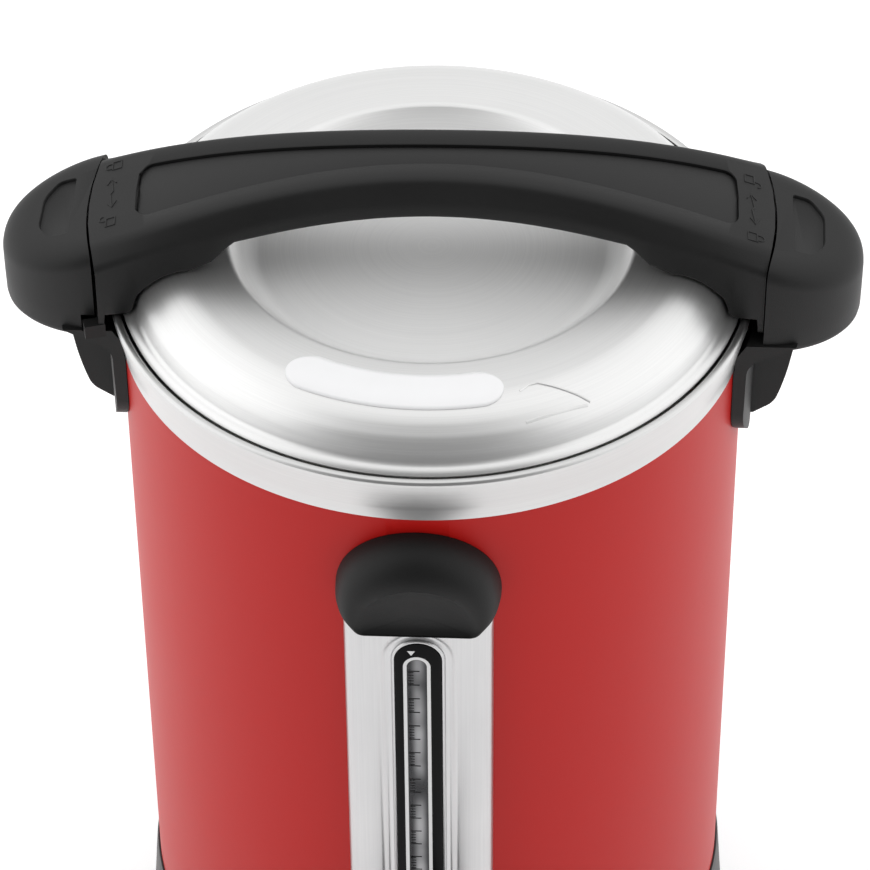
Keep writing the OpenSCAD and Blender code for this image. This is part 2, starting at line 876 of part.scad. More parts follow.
function hood_ring(f) =
    let (
        n = 9,
        w = hood_r - (hood_r - hood_crest_r) * pow(f, 1.3),
        top = hood_r - hood_centre - 14 * pow(f, 1.2),
        low = -hood_low + 1.2 * f,
        rise = hood_out * sqrt(1 - pow(1 - f, 2)),
        contact_r = shell_r + hood_gap,
        half = concat(
            [for (k = [0:n])
                let (a = 90 * k / n)
                [w * sin(a), top + w * (1 - 0.25 * f) * (cos(a) - 1)]],
            [[w * 0.985, low + 9 - 2 * f], [w * 0.9, low + 7 - 3 * f],
                [w * 0.78, low + 2.2 - f], [w * 0.66, low]])
    )
    [for (p = concat(half, [for (p = reversed(half)) [-p[0], p[1]]]))
        [p[0], -sqrt(contact_r * contact_r - p[0] * p[0]) - rise, collar_z + p[1]]];

// The crest's ring drawn in to a share of its size and pushed back into the hood
function scoop_ring(share) =
    let (middle = collar_z - hood_low + 12)
    [for (p = hood_ring(1))
        [p[0] * share, p[1] + hood_scoop * (1 - share * share), middle + (p[2] - middle) * share]];

module gauge_hood() {
    color(BLACK)
        difference() {
            loft(concat([for (i = [0:hood_steps]) hood_ring(i / hood_steps)],
                [for (share = [0.85, 0.6, 0.3]) scoop_ring(share)]));
            cylinder(r = shell_r + hood_gap - 0.05, h = collar_z + collar_h);
            // room for the end of the gauge cover
            translate([-strip_w / 2 - 0.2, -strip_y - 0.2, collar_z - hood_low - 1])
                cube([strip_w + 0.4, strip_y - shell_r + 20, strip_top + 0.3 - collar_z + hood_low + 1]);
        }
}

// ---------------------------------------------------------------- tap

valve_y = strip_y + tap_reach;
chamber_r = chamber_d / 2;
chamber_in_r = chamber_r - chamber_wall;
seat_height = tap_z - 11;
chamber_top = tap_z + 18;
shank_r = 11;
shank_in_r = 8;
shank_bore_r = 5.5;
shank_step_y = tank_r + 6;
socket_r = tube_r + 3;
bonnet_h = 8;
bonnet_top = chamber_top + bonnet_h;
spigot_h = 6;
pin_back = 8;
pin_y = valve_y + pin_back;
lever_pin_z = bonnet_top + 7;
lever_w = 12;
ear_gap = 0.5;
ear_t = 3;
fork_top = lever_pin_z + 2.6;
head_r = 4;
head_h = 3;
head_z = fork_top + 0.4;
cup_r = chamber_in_r - 1.5;
cup_h = 6;

module tap_body() {
    color(BLACK)
        difference() {
            union() {
                along_front(15, strip_y, strip_y + 3, z = tap_z);
                along_front(9, strip_y, valve_y, z = tap_z);
                along_front(shank_r, shank_step_y, strip_y + 1, z = tap_z);
                along_front(shank_in_r, tank_r - 12, shank_step_y + 1, z = tap_z);
                translate([0, -tube_y, tap_z])
                    cylinder(r = socket_r, h = socket_top - tap_z);
                translate([0, -valve_y, seat_height - 3])
                    cylinder(r = chamber_r, h = chamber_top - seat_height + 3);
                translate([0, -valve_y, seat_height - 10])
                    cylinder(r1 = spout_d / 2 + 2.5, r2 = chamber_r, h = 7);
                translate([0, -valve_y, seat_height - spout_l])
                    cylinder(d = spout_d + 5, h = spout_l);
            }
            along_front(shank_bore_r, tank_r - 20, valve_y, z = tap_z);
            translate([0, -valve_y, seat_height])
                cylinder(r = chamber_in_r, h = cut_l);
            translate([0, -valve_y, seat_height - spout_l - 1])
                cylinder(d = spout_d, h = spout_l + 10);
            translate([0, -tube_y, tap_z])
                cylinder(r = tube_r - tube_t, h = cut_l);
            translate([0, -tube_y, tube_low])
                cylinder(r = tube_r + 1.4, h = cut_l);
        }
}

// One washer outside the tank's wall and one inside, both curved to it
module tap_washers() {
    color(RUBBER) {
        difference() {
            along_front(13, tank_r - 6, shank_step_y, z = tap_z);
            along_front(shank_in_r, 0, shell_r, z = tap_z);
            cylinder(r = tank_r, h = collar_z);
            translate([0, -tube_y, tap_z])
                cylinder(r = socket_r + 0.2, h = socket_top - tap_z);
        }
        difference() {
            intersection() {
                along_front(13, tank_r - 4, tank_r + 6, z = tap_z);
                cylinder(r = tank_r - tank_t, h = collar_z);
            }
            along_front(shank_in_r, 0, shell_r, z = tap_z);
        }
    }
}

module tap_nut() {
    color(STEEL)
        translate([0, -tank_r + 4, tap_z])
            rotate([-90, 0, 0])
                difference() {
                    cylinder(r = 14, h = 6, $fn = 6);
                    translate([0, 0, -1])
                        cylinder(r = shank_in_r, h = 8);
                }
}

module tap_bonnet() {
    ear_r = 3.6;
    ear_x = lever_w / 2 + ear_gap;
    color(BLACK)
        difference() {
            union() {
                translate([0, -valve_y, chamber_top])
                    rotate_extrude()
                        polygon(rounded([[0, 0, 0], [chamber_r + 0.6, 0, 0.8], [chamber_r + 0.6, 5, 1],
                            [chamber_r - 1.6, bonnet_h, 1.5], [0, bonnet_h, 0]]));
                translate([0, -valve_y, chamber_top - spigot_h])
                    cylinder(r = chamber_in_r, h = spigot_h + 1);
                for (side = [-1, 1])
                    translate([side * (ear_x + ear_t / 2), -pin_y, 0])
                        rotate([0, 90, 0]) {
                            translate([-lever_pin_z, 0, -ear_t / 2])
                                cylinder(r = ear_r, h = ear_t);
                            translate([-lever_pin_z, -ear_r, -ear_t / 2])
                                cube([lever_pin_z - bonnet_top + 1, 2 * ear_r, ear_t]);
                        }
            }
            translate([0, -valve_y, 0])
                cylinder(d = stem_d + 2 * fit_gap, h = collar_z);
            translate([0, -pin_y, lever_pin_z])
                rotate([0, 90, 0])
                    cylinder(d = pin_d, h = cut_l, center = true);
        }
}

module lever_pin() {
    color(STEEL)
        translate([0, -pin_y, lever_pin_z])
            rotate([0, 90, 0])
                cylinder(d = pin_d, h = lever_w + 2 * ear_gap + 2 * ear_t, center = true);
}

// Side view of the lever, [distance in front of the pin, height above it]
function lever_side() = rounded([[-pin_back - head_r, 2.6, 0.6], [2, 2.6, 4], [14, 4.4, 12],
    [lever_l * 0.6, 3.2, 20], [lever_l, -1, 1.5], [lever_l + 0.6, -4.4, 1.5],
    [lever_l * 0.6, -2.2, 20], [14, -1.2, 12], [3.2, -2.6, 2], [-2.6, -2.6, 1],
    [-4, 0.2, 1], [-pin_back - head_r, 0.2, 0.5]]);

// The lever from above, [half width at distance in front of the pin]
function lever_plan() =
    let (right = rounded([[-pin_back - head_r - 1, lever_w / 2, 0], [8, lever_w / 2, 5],
        [16, lever_w / 2 + 2, 8], [lever_l - 2, lever_w / 2 + 4, 7], [lever_l + 2, 0, 0]],
        closed = false))
    concat(right, [for (p = reversed(right)) [p[0], -p[1]]]);

module tap_lever() {
    slot = stem_d + 1.4;
    color(BLACK)
        difference() {
            intersection() {
                translate([0, -pin_y, lever_pin_z])
                    rotate([90, 0, -90])
                        translate([0, 0, -20])
                            linear_extrude(40)
                                polygon(lever_side());
                translate([0, -pin_y, lever_pin_z - 20])
                    rotate([0, 0, -90])
                        linear_extrude(40)
                            polygon(lever_plan());
            }
            translate([0, -pin_y, lever_pin_z])
                rotate([0, 90, 0])
                    cylinder(d = pin_d + 2 * fit_gap, h = cut_l, center = true);
            translate([-slot / 2, -valve_y - slot / 2 - 0.2, lever_pin_z - 20])
                cube([slot, 40, 40]);
        }
}

module valve_stem() {
    color(STEEL)
        translate([0, -valve_y, 0]) {
            translate([0, 0, seat_height + 2])
                cylinder(d = stem_d, h = head_z + 1 - seat_height - 2);
            translate([0, 0, head_z])
                cylinder(r = head_r, h = head_h);
        }
}

module valve_cup() {
    color([0.85, 0.83, 0.8])
        translate([0, -valve_y, seat_height])
            difference() {
                rotate_extrude()
                    polygon(rounded([[0, 0, 0], [cup_r, 0, 0.6], [cup_r, 2.5, 0.6], [stem_d / 2 + 2, cup_h, 0.6],
                        [0, cup_h, 0]]));
                translate([0, 0, 2])
                    cylinder(d = stem_d, h = cup_h);
            }
}

// Rings of a wire of diameter w that winds at radius r from z = a up to z = b
function coil_rings(r, w, a, b, turns, per_turn = 16, sides = 6) =
    [for (i = [0:turns * per_turn])
        let (u = i / (turns * per_turn), t = 360 * turns * u, z = a + (b - a) * u)
        [for (j = [0:sides - 1])
            let (s = 360 * j / sides)
            [(r + w / 2 * cos(s)) * cos(t), (r + w / 2 * cos(s)) * sin(t), z + w / 2 * sin(s)]]];

module valve_spring() {
    w = spring_wire_d;
    low = seat_height + cup_h + w / 2 + 0.1;
    high = chamber_top - spigot_h - w / 2 - 0.1;
    color(STEEL)
        translate([0, -valve_y, 0])
            loft(coil_rings(stem_d / 2 + 1.3, w, low, high, spring_turns));
}

// ---------------------------------------------------------------- side grips

grip_half = grip_w / 2;
grip_round_out = 2.2;
grip_round_in = 1.8;
pocket_r = bridge_r + lug_reach + turn_gap;
pocket_top = shelf_z + lug_h + 2 * seat_gap + 0.4;
pocket_low = shelf_z - 0.4;
pocket_end = 2;
mouth_turn = asin((grip_half + 0.9) / pocket_r);
bracket_t = 2;

// Height of the grip's top face, which falls away outward
function grip_face(x) = grip_top - 0.33 * (x - grip_in_r);

// One outline of the grip, drawn in by d, at the heights z(x)
function grip_ring(d, level, drop) =
    let (
        n = 9,
        w = grip_half - d,
        base = grip_in_r - 1,
        reach = grip_reach - d,
        lobe = [for (k = [-n:n])
            let (a = 89.9 * k / n, s = sin(a))
            [base + reach * pow(cos(a), 2 / grip_round_in),
                (s < 0 ? -1 : 1) * w * pow(abs(s), 2 / grip_round_out)]],
        inner = [for (p = reversed(lobe)) [sqrt(grip_in_r * grip_in_r - p[1] * p[1]), p[1]]]
    )
    [for (p = concat(lobe, inner)) [p[0], p[1], level == undef ? grip_face(p[0]) - drop : level]];

module grip_body() {
    loft([
        grip_ring(13, undef, 0),
        grip_ring(8, undef, 0.3),
        grip_ring(4.2, undef, 1.1),
        grip_ring(1.8, undef, 2.6),
        grip_ring(0.5, undef, 4.6),
        grip_ring(0, undef, 8),
        grip_ring(0, 20, 0),
        grip_ring(0.1, grip_bottom + 3, 0),
        grip_ring(0.8, grip_bottom + 0.8, 0),
        grip_ring(2.5, grip_bottom, 0)]);
}

// Section of the leg and of the shelf, [radius, height above the collar's foot]
function leg_section() =
    let (out = shell_r + 0.3 + leg_t, end = grip_in_r + 11)
    rounded([[out, -leg_l - 2, 0], [out, 3, 9], [end, grip_bottom + 1.2, 0], [end, shelf_z, 0],
        [band_r + 4.2, shelf_z, 0.5], [band_r + 0.3, ledge_h - 6.5, 1], [band_r + 0.3, -0.4, 0],
        [shell_r + 0.3, -0.4, 0], [shell_r + 0.3, -leg_l - 2, 0]], n = 6);

// Outline of the leg seen from the side, [y, height]
function leg_front() =
    let (w = grip_half + 1, tip = -leg_l * 0.79)
    rounded([[-w, shelf_z + 1, 0], [w, shelf_z + 1, 0], [w, tip, 5], [w * 0.55, -leg_l, 12],
        [-w * 0.55, -leg_l, 12], [-w, tip, 5]], n = 6);

// The web under the grip, [x, height]
function web_side() =
    let (r = grip_in_r)
    rounded([[r - 12, grip_bottom + 1, 0], [r + 15, grip_bottom + 1, 0], [r + 10.5, -5, 12],
        [r + 7, -leg_l * 0.52, 20], [r + 2.5, -leg_l * 0.84, 8], [r - 5.5, -leg_l, 0],
        [r - 12, -leg_l, 0]], n = 6);

// The right grip; the left one is the same piece turned round
module grip() {
    dish_slope = atan(0.33);
    translate([0, 0, collar_z])
        difference() {
            union() {
                grip_body();
                intersection() {
                    sector(leg_section(), -20, 20);
                    rotate([90, 0, 90])
                        linear_extrude(grip_in_r + grip_reach)
                            polygon(leg_front());
                }
                difference() {
                    translate([0, web_w / 2, 0])
                        rotate([90, 0, 0])
                            linear_extrude(web_w)
                                polygon(web_side());
                    translate([0, 0, -leg_l - 5])
                        cylinder(r = shell_r + 0.3, h = leg_l + 4.6);
                    translate([0, 0, -1])
                        cylinder(r = band_r + 2.2, h = 20);
                }
            }
            // channel for the locking lug
            sector([[grip_in_r - 2, pocket_low], [pocket_r, pocket_low], [pocket_r, pocket_top],
                [grip_in_r - 2, pocket_top]], pocket_end, 24);
            // recessed thumb rest
            translate([grip_in_r + 12.5, 0, grip_face(grip_in_r + 12.5) - 1.6])
                rotate([0, dish_slope, 0])
                    linear_extrude(10)
                        polygon(rounded([[-6.2, -17, 1.5], [1, -16.8, 5], [6.2, -9, 8], [6.6, 9, 8],
                            [1, 16.8, 5], [-6.2, 17, 1.5]]));
            for (z = screw_zs)
                translate([0, 0, z - collar_z])
                    rotate([0, 90, 0])
                        cylinder(d = grip_screw_d, h = shell_r + 11);
        }
}

module right_grip() {
    color(BLACK)
        grip();
}

module left_grip() {
    color(BLACK)
        rotate([0, 0, 180])
            grip();
}

// Steel plate inside the shell that spreads a grip's load
module bracket() {
    w = 24;
    low = screw_zs[1] - 9;
    high = collar_z - spigot_l - 0.4;
    half_turn = asin(w / 2 / shell_in_r);
    difference() {
        sector([[shell_in_r - bracket_t, low], [shell_in_r, low], [shell_in_r, high],
            [shell_in_r - bracket_t, high]], -half_turn, half_turn);
        for (z = screw_zs)
            translate([0, 0, z])
                rotate([0, 90, 0])
                    cylinder(d = grip_screw_d + 0.4, h = shell_r);
    }
}

module right_bracket() {
    color(ZINC)
        bracket();
}

module left_bracket() {
    color(ZINC)
        rotate([0, 0, 180])
            bracket();
}

module grip_screws() {
    start = shell_in_r - bracket_t - 0.1;
    color(ZINC)
        for (side = [0, 180], z = screw_zs)
            rotate([0, 0, side])
                translate([start, 0, z])
                    rotate([0, 90, 0])
                        screw(grip_screw_d, 13);
}

// ---------------------------------------------------------------- lid

dish_r = dish_d / 2;
crest_z = dish_z + crest_rise;

// The lid pan's upper face, [radius, height above the collar's foot]
function lid_face(n = 7) =
    rounded([[0, dish_z, 0], [dish_r - 9, dish_z, 8], [dish_r, crest_z - 0.4, 3],
        [lid_r - 21, crest_z - 0.2, 10], [lid_r - 8, dish_z + 1.4, 9],
        [lid_r - 4.4, collar_h + 0.8, 3], [lid_r, collar_h - 0.5, 0]],
        closed = false, n = n);

vent_y = 48;
vent_d = 10;
bridge_screw_d = 4;
bridge_screw_l = 12;
BRIDGE_SCREWS = [[-1, -1], [-1, 1], [1, -1], [1, 1]];
bridge_screw_x = lid_r - 26;
bridge_screw_y = 15;

module at_bridge_screws() {
    for (s = BRIDGE_SCREWS)
        translate([s[0] * bridge_screw_x, s[1] * bridge_screw_y, 0])
            children();
}

// Everything on the lid stands turned from the grips at rest
module on_lid() {
    rotate([0, 0, lid_rest_turn])
        translate([0, 0, collar_z])
            children();
}

module lid_pan() {
    color(STEEL)
        on_lid()
            difference() {
                rotate_extrude()
                    polygon(sheet(lid_face(), lid_t));
                translate([0, vent_y, 0])
                    cylinder(d = vent_d, h = cut_l);
                at_bridge_screws()
                    cylinder(d = bridge_screw_d, h = cut_l);
            }
}

liner_r = tank_r - tank_t - 0.6;

module lid_liner() {
    seat = ledge_h + tank_t + seal_h + seat_gap;
    joint_z = collar_h - 0.5 - lid_t - liner_t;
    step_r = liner_r + 8.4;
    color(STEEL)
        on_lid()
            difference() {
                rotate_extrude()
                    polygon(sheet(rounded([[lid_r - 0.6, joint_z, 0], [step_r, joint_z, 0.8],
                        [step_r, seat, 0.8], [liner_r, seat, 0], [liner_r, seat - liner_depth, 4],
                        [0, seat - liner_depth, 0]], closed = false, n = 4), liner_t));
                translate([0, vent_y, -cut_l / 2])
                    cylinder(d = vent_d, h = cut_l);
            }
}

module steam_vent() {
    floor_z = ledge_h + tank_t + seal_h + seat_gap - liner_depth;
    color(BLACK)
        on_lid()
            translate([0, vent_y, 0])
                difference() {
                    union() {
                        translate([0, 0, floor_z - 2])
                            cylinder(d = vent_d, h = dish_z - floor_z + 3);
                        translate([0, 0, dish_z])
                            cylinder(d = vent_d + 6, h = 2.4);
                    }
                    translate([0, 0, floor_z - 3])
                        cylinder(d = 3.6, h = cut_l);
                }
}

// Silicone ring between the tank's flange and the lid's inner pan
module rim_seal() {
    in_r = liner_r + 1;
    out_r = in_r + 7;
    z = ledge_h + tank_t + seat_skin;
    color([0.8, 0.8, 0.78])
        on_lid()
            rotate_extrude()
                polygon([[in_r, z], [out_r, z], [out_r, z + 2], [in_r + 5, z + seal_h],
                    [in_r + 1.5, z + seal_h], [in_r, z + 2]]);
}

// ---------------------------------------------------------------- bridge handle

// Along the bridge, t runs from 0 at its middle to 1 at its ends
function sq(t) = t * t;
function bridge_top(t) = bridge_rise - 27.4 * sq(t) + 0.9 * sq(sq(t));
function bridge_edge_z(t) = bridge_top(t) - 11.4 + 6.8 * sq(t) - 0.9 * sq(sq(t));
function bridge_edge_w(t) = bridge_w / 2 + (leg_w / 2 - bridge_w / 2) * (1.51 * sq(t) - 0.51 * sq(sq(t)));
function bridge_top_w(t) = bridge_edge_w(t) - 3.3 - 2.6 * sq(t) - 3.4 * sq(sq(t));
function bridge_under(t) = bridge_rise - bridge_t - 27.3 * sq(t) + 14 * sq(sq(t));
function inlay_w(t) = bridge_top_w(t) - 10 + 0.8 * sq(t);

leg_in = bridge_r - 55;
shoulder_gap = 0.8;
skirt_z = collar_h - 5.5;
lip_clear_z = collar_h + turn_gap + 0.1;

// Where the legs' undersides run: [distance from the axis, height], outward
// over the lid's crest and the collar's lip, down to the skirt's foot
leg_path = concat(
    [for (i = [0:2]) [leg_in + i * 5, bridge_under(leg_in / bridge_r) - i * 3.6]],
    [[lid_r - 25, crest_z + seat_gap]],
    [for (p = lid_face(2))
        if (p[0] > lid_r - 24 && p[0] < lid_r - 3) [p[0] + shoulder_gap, p[1] + seat_gap]],
    [[lid_r - 1.4, lip_clear_z], [lip_r + turn_gap, lip_clear_z],
        [lip_r + turn_gap + 0.5, skirt_z], [bridge_r, skirt_z]]);

mid_stations = 8;
half_path = concat(
    [for (i = [1:mid_stations - 1])
        let (x = leg_in * i / mid_stations)
        [x, bridge_under(x / bridge_r)]],
    leg_path);

// Towards its ends the bridge's sections bend to the round of the rim
function bent_x(a, y) =
    let (
        u = max(0, min(1, (a - leg_in * 0.6) / (lid_r - 25 - leg_in * 0.6))),
        share = u * u * (3 - 2 * u)
    )
    share == 0 ? a : a - share * (a - sqrt(a * a - y * y));

// One section of the bridge at x, [y, height]: half of the upper face from the
// edge inward, then half of the underside from the edge inward
function bridge_section(x, low) =
    let (
        t = x / bridge_r,
        top = bridge_top(t),
        edge = bridge_edge_z(t),
        w = bridge_edge_w(t),
        wt = bridge_top_w(t),
        leg = max(0, min(1, (x - leg_in) / 8)),
        side = 1 - leg
    )
    [[w, edge], [wt + 0.9, top - 1.6], [wt - 0.8, top - 0.5], [wt - 4, top], [wt * 0.4, top],
        [w + 0.4 * leg, edge - 1.2 - 4 * leg], [w - side, (edge + low) / 2],
        [w - 1.8 * side - 0.3, low + 1.2], [w - 3.6, low + 0.1 * side], [wt * 0.4, low]];

function bridge_ring(side, a, low) =
    let (
        count = 10,
        half = [for (k = [0:count - 1])
            let (
                first = bridge_section(a, low)[k],
                x = bent_x(a, first[0]),
                p = bridge_section(x, low)[k]
            )
            [side * bent_x(a, p[0]), p[0], p[1]]],
        top = [for (k = [0:4]) half[k]],
        under = [for (k = [5:9]) half[k]]
    )
    concat([for (p = top) [p[0], -p[1], p[2]]], reversed(top),
        under, [for (p = reversed(under)) [p[0], -p[1], p[2]]]);

// Stations of the inlay with its corners rounded
inlay_stations = [for (i = [-11:11])
    let (k = abs(i), half = inlay_l / 2)
    sign(i) * (k < 8 ? (half - 5) * k / 7 : half - 5 + 5 * sin(22.5 * (k - 7)))];

function inlay_ring(x, top, thick, g) =
    let (
        half = inlay_l / 2,
        over = max(0, abs(x) - half + 5),
        w = inlay_w(abs(x) / bridge_r) + g - 5 + sqrt(max(0.01, 25 - over * over)),
        z = bridge_top(abs(x) / bridge_r) - top,
        stretch = x * (half + g) / half
    )
    [[stretch, -w, z], [stretch, -w / 3, z], [stretch, w / 3, z], [stretch, w, z],
        [stretch, w, z - thick], [stretch, w / 3, z - thick], [stretch, -w / 3, z - thick],
        [stretch, -w, z - thick]];

module inlay(top, thick, g) {
    loft([for (x = inlay_stations) inlay_ring(x, top, thick, g)]);
}

core_half = leg_in - 6;
core_w = 22;
cover_t = 2;
core_stations = [for (i = [-8:8]) core_half * i / 8];

// A bar of even width along the bridge's underside, from depth a to depth b above it
module under_bar(w, a, b) {
    loft([for (x = core_stations)
        let (z = bridge_under(abs(x) / bridge_r))
        [[x, -w / 2, z + b], [x, w / 2, z + b], [x, w / 2, z + a], [x, -w / 2, z + a]]]);
}

// Both locking lugs: each reaches out from a leg's skirt, at the grip's mouth
module lugs() {
    low = shelf_z + seat_gap;
    start = mouth_turn + 0.45 - lid_rest_turn;
    in_r = lip_r + turn_gap + 0.2;
    out_r = bridge_r - 0.2;
    reach_r = bridge_r + lug_reach;
    for (side = [0, 180])
        rotate([0, 0, side]) {
            sector([[in_r, low], [reach_r, low], [reach_r, low + lug_h], [in_r, low + lug_h]],
                start, start + lug_turn);
            sector([[in_r, low], [out_r, low], [out_r, low + lug_h + 2], [in_r, low + lug_h + 2]],
                3, start + 0.4);
        }
}

module bridge_handle() {
    color(BLACK)
        on_lid()
            difference() {
                union() {
                    loft(concat(
                        [for (p = reversed(half_path)) bridge_ring(-1, p[0], p[1])],
                        [bridge_ring(1, 0, bridge_under(0))],
                        [for (p = half_path) bridge_ring(1, p[0], p[1])]));
                    lugs();
                }
                inlay(-4, 4.1 + inlay_drop + inlay_t, 0.15);
                under_bar(core_w, -3, 7);
                at_bridge_screws()
                    cylinder(d = bridge_screw_d, h = crest_z + bridge_screw_l);
            }
}

module handle_insert() {
    color([0.12, 0.12, 0.13])
        on_lid()
            inlay(inlay_drop, inlay_t, 0);
}

module bridge_cover() {
    color(BLACK)
        on_lid()
            under_bar(core_w - 0.2, 0.3, 0.3 + cover_t);
}

module bridge_screws() {
    under_lid = crest_z - 0.4 - lid_t - 0.3;
    color(ZINC)
        on_lid()
            at_bridge_screws()
                translate([0, 0, under_lid])
                    screw(bridge_screw_d, bridge_screw_l);
}

// ---------------------------------------------------------------- the part

foot_ring();
base_plate();
base_moulding();
base_nuts();
tie_rods();
outer_shell();
rim_collar();
inner_tank();
heat_plate();
heating_element();
thermal_cutout();
terminal_block();
power_inlet();
inlet_screws();
control_panel();
panel_screws();
switch_bezel();
switch_rocker();
thermostat_body();
thermostat_spindle();
thermostat_knob();
lamp_lenses();
gauge_cover();
gauge_hood();
gauge_lens();
scale_plate();
sight_tube();
tube_top_plug();
tube_grommet();
tap_body();
tap_washers();
tap_nut();
tap_bonnet();
tap_lever();
lever_pin();
valve_stem();
valve_cup();
valve_spring();
left_grip();
right_grip();
left_bracket();
right_bracket();
grip_screws();
rim_seal();
lid_pan();
lid_liner();
steam_vent();
bridge_handle();
handle_insert();
bridge_cover();
bridge_screws();
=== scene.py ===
import math

import bmesh
import bpy
from mathutils import Matrix, Vector
from mathutils.bvhtree import BVHTree


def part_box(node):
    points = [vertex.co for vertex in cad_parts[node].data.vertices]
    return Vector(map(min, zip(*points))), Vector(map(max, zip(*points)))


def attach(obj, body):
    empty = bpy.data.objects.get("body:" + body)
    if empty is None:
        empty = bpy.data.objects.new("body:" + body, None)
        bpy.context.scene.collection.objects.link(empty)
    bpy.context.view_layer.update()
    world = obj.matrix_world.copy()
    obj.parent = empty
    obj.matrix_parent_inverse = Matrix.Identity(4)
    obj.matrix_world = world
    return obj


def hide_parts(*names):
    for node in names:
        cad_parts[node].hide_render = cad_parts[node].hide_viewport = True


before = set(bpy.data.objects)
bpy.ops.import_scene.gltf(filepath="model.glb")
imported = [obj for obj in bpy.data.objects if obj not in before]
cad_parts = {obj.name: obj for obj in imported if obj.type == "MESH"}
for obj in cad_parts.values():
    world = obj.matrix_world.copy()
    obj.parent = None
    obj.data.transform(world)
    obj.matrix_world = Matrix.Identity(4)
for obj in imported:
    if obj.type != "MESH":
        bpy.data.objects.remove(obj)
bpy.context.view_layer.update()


# ------------------------------------------------------------ rubber foot
# A soft black ring under the base plate, on which the boiler stands. It is
# moulded rubber with a dull, slightly dusty face.

def feed(node, inputs):
    for key, value in inputs.items():
        if isinstance(value, Wire):
            node.id_data.links.new(value.socket, node.inputs[key])
        else:
            node.inputs[key].default_value = value


class Wire:
    """A shader socket that Python's operators work on."""

    def __init__(self, tree, socket=None):
        self.tree = tree
        self.socket = socket

    def node(self, kind, settings, inputs, output=0):
        made = self.tree.nodes.new("ShaderNode" + kind)
        for key, value in settings.items():
            if key == "stops":
                elements = made.color_ramp.elements
                elements[0].position, elements[0].color = value[0]
                elements[1].position, elements[1].color = value[-1]
                for place, colour in value[1:-1]:
                    elements.new(place).color = colour
            else:
                setattr(made, key, value)
        feed(made, inputs)
        return Wire(self.tree, made.outputs[output])

    def maths(self, operation, *others):
        return self.node("Math", {"operation": operation}, dict(enumerate((self, *others))))

    def __add__(self, other):
        return self.maths("ADD", other)

    def __sub__(self, other):
        return self.maths("SUBTRACT", other)

    def __rsub__(self, other):
        return self.node("Math", {"operation": "SUBTRACT"}, {0: other, 1: self})

    def __mul__(self, other):
        return self.maths("MULTIPLY", other)

    def __pow__(self, other):
        return self.maths("POWER", other)

    def __abs__(self):
        return self.maths("ABSOLUTE")

    __radd__ = __add__
    __rmul__ = __mul__

    def step(self, low, high):
        """0 below low, 1 above high, and smooth between them"""
        return self.node("MapRange", {"interpolation_type": "SMOOTHSTEP"},
                         {"Value": self, "From Min": low, "From Max": high})

    def blend(self, first, second):
        """first where this is 0, second where it is 1"""
        return self.node("Mix", {"data_type": "RGBA"}, {0: self, 6: first, 7: second}, 2)

    def part(self, axis):
        return self.node("SeparateXYZ", {}, {"Vector": self}, axis)

    def grain(self, size, detail=2.0):
        """Noise whose grains are about size metres across"""
        return self.node("TexNoise", {}, {"Vector": self, "Scale": 1 / size, "Detail": detail})

    def bump(self, height, strength=1.0):
        return self.node("Bump", {}, {"Height": self, "Distance": height, "Strength": strength})


def paint(red, green, blue):
    """A colour written as on a colour card, 0 to 255"""
    return tuple(((c / 255 + 0.055) / 1.055) ** 2.4 if c > 10 else c / 255 / 12.92
                 for c in (red, green, blue)) + (1.0,)


def surfaced(name, look):
    material = bpy.data.materials.new(name)
    material.use_nodes = True
    tree = material.node_tree
    place = Wire(tree).node("TexCoord", {}, {}, "Object")
    feed(tree.nodes["Principled BSDF"], look(place))
    return material


def dress(material, *names):
    for name in names:
        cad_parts[name].material_slots[0].material = material


def rubber_look(place):
    dust = place.grain(0.018, 4.0)
    return {"Base Color": dust.blend(paint(24, 24, 25), paint(40, 40, 41)),
            "Roughness": 0.62 + 0.2 * dust,
            "Specular IOR Level": 0.35,
            "Normal": place.grain(0.0011, 3.0).bump(0.00006)}


black_rubber = surfaced("black_rubber", rubber_look)
dress(black_rubber, "foot_ring", "tube_top_plug", "tube_grommet", "tap_washers")


# ------------------------------------------------------------ base and controls
# The base, its control panel and the mains inlet are injection-moulded black
# plastic with a fine even grain; the switch is glossy and the lamps are amber.

def moulded_look(dark, light, rough, grain, depth):
    def look(place):
        cloud = place.grain(0.03, 3.0)
        fine = place.grain(grain, 2.0)
        return {"Base Color": cloud.blend(paint(dark, dark, dark + 1), paint(light, light, light + 1)),
                "Roughness": rough + 0.1 * cloud,
                "Normal": fine.bump(depth)}
    return look


base_plastic = surfaced("base_plastic", moulded_look(26, 34, 0.4, 0.0007, 0.00004))
dress(base_plastic, "base_moulding", "control_panel", "power_inlet", "thermal_cutout")

switch_plastic = surfaced("switch_plastic", moulded_look(18, 24, 0.16, 0.004, 0.00001))
dress(switch_plastic, "switch_bezel", "switch_rocker")


def knob_look(place):
    cloud = place.grain(0.02, 3.0)
    across = place.part("X") - 0.033
    up = place.part("Z") - 0.033
    front = (0 - place.part("Y")).step(0.1512, 0.1516)
    line = (1 - abs(across).step(0.0006, 0.0009)) * up.step(0.006, 0.0064) * front
    return {"Base Color": line.blend(cloud.blend(paint(28, 28, 29), paint(36, 36, 37)), paint(225, 225, 222)),
            "Roughness": 0.34 + 0.12 * cloud,
            "Normal": place.grain(0.0006).bump(0.00003)}


dress(surfaced("knob_plastic", knob_look), "thermostat_knob")


def lamp_look(place):
    ribs = place.node("TexWave", {"wave_type": "BANDS", "bands_direction": "Z"},
                      {"Vector": place, "Scale": 160.0, "Distortion": 0.0})
    return {"Base Color": ribs.blend(paint(214, 96, 22), paint(240, 140, 50)),
            "Roughness": 0.14 + 0.05 * ribs, "Transmission Weight": 0.35, "IOR": 1.49,
            "Normal": ribs.bump(0.0001)}


dress(surfaced("amber_plastic", lamp_look), "lamp_lenses")


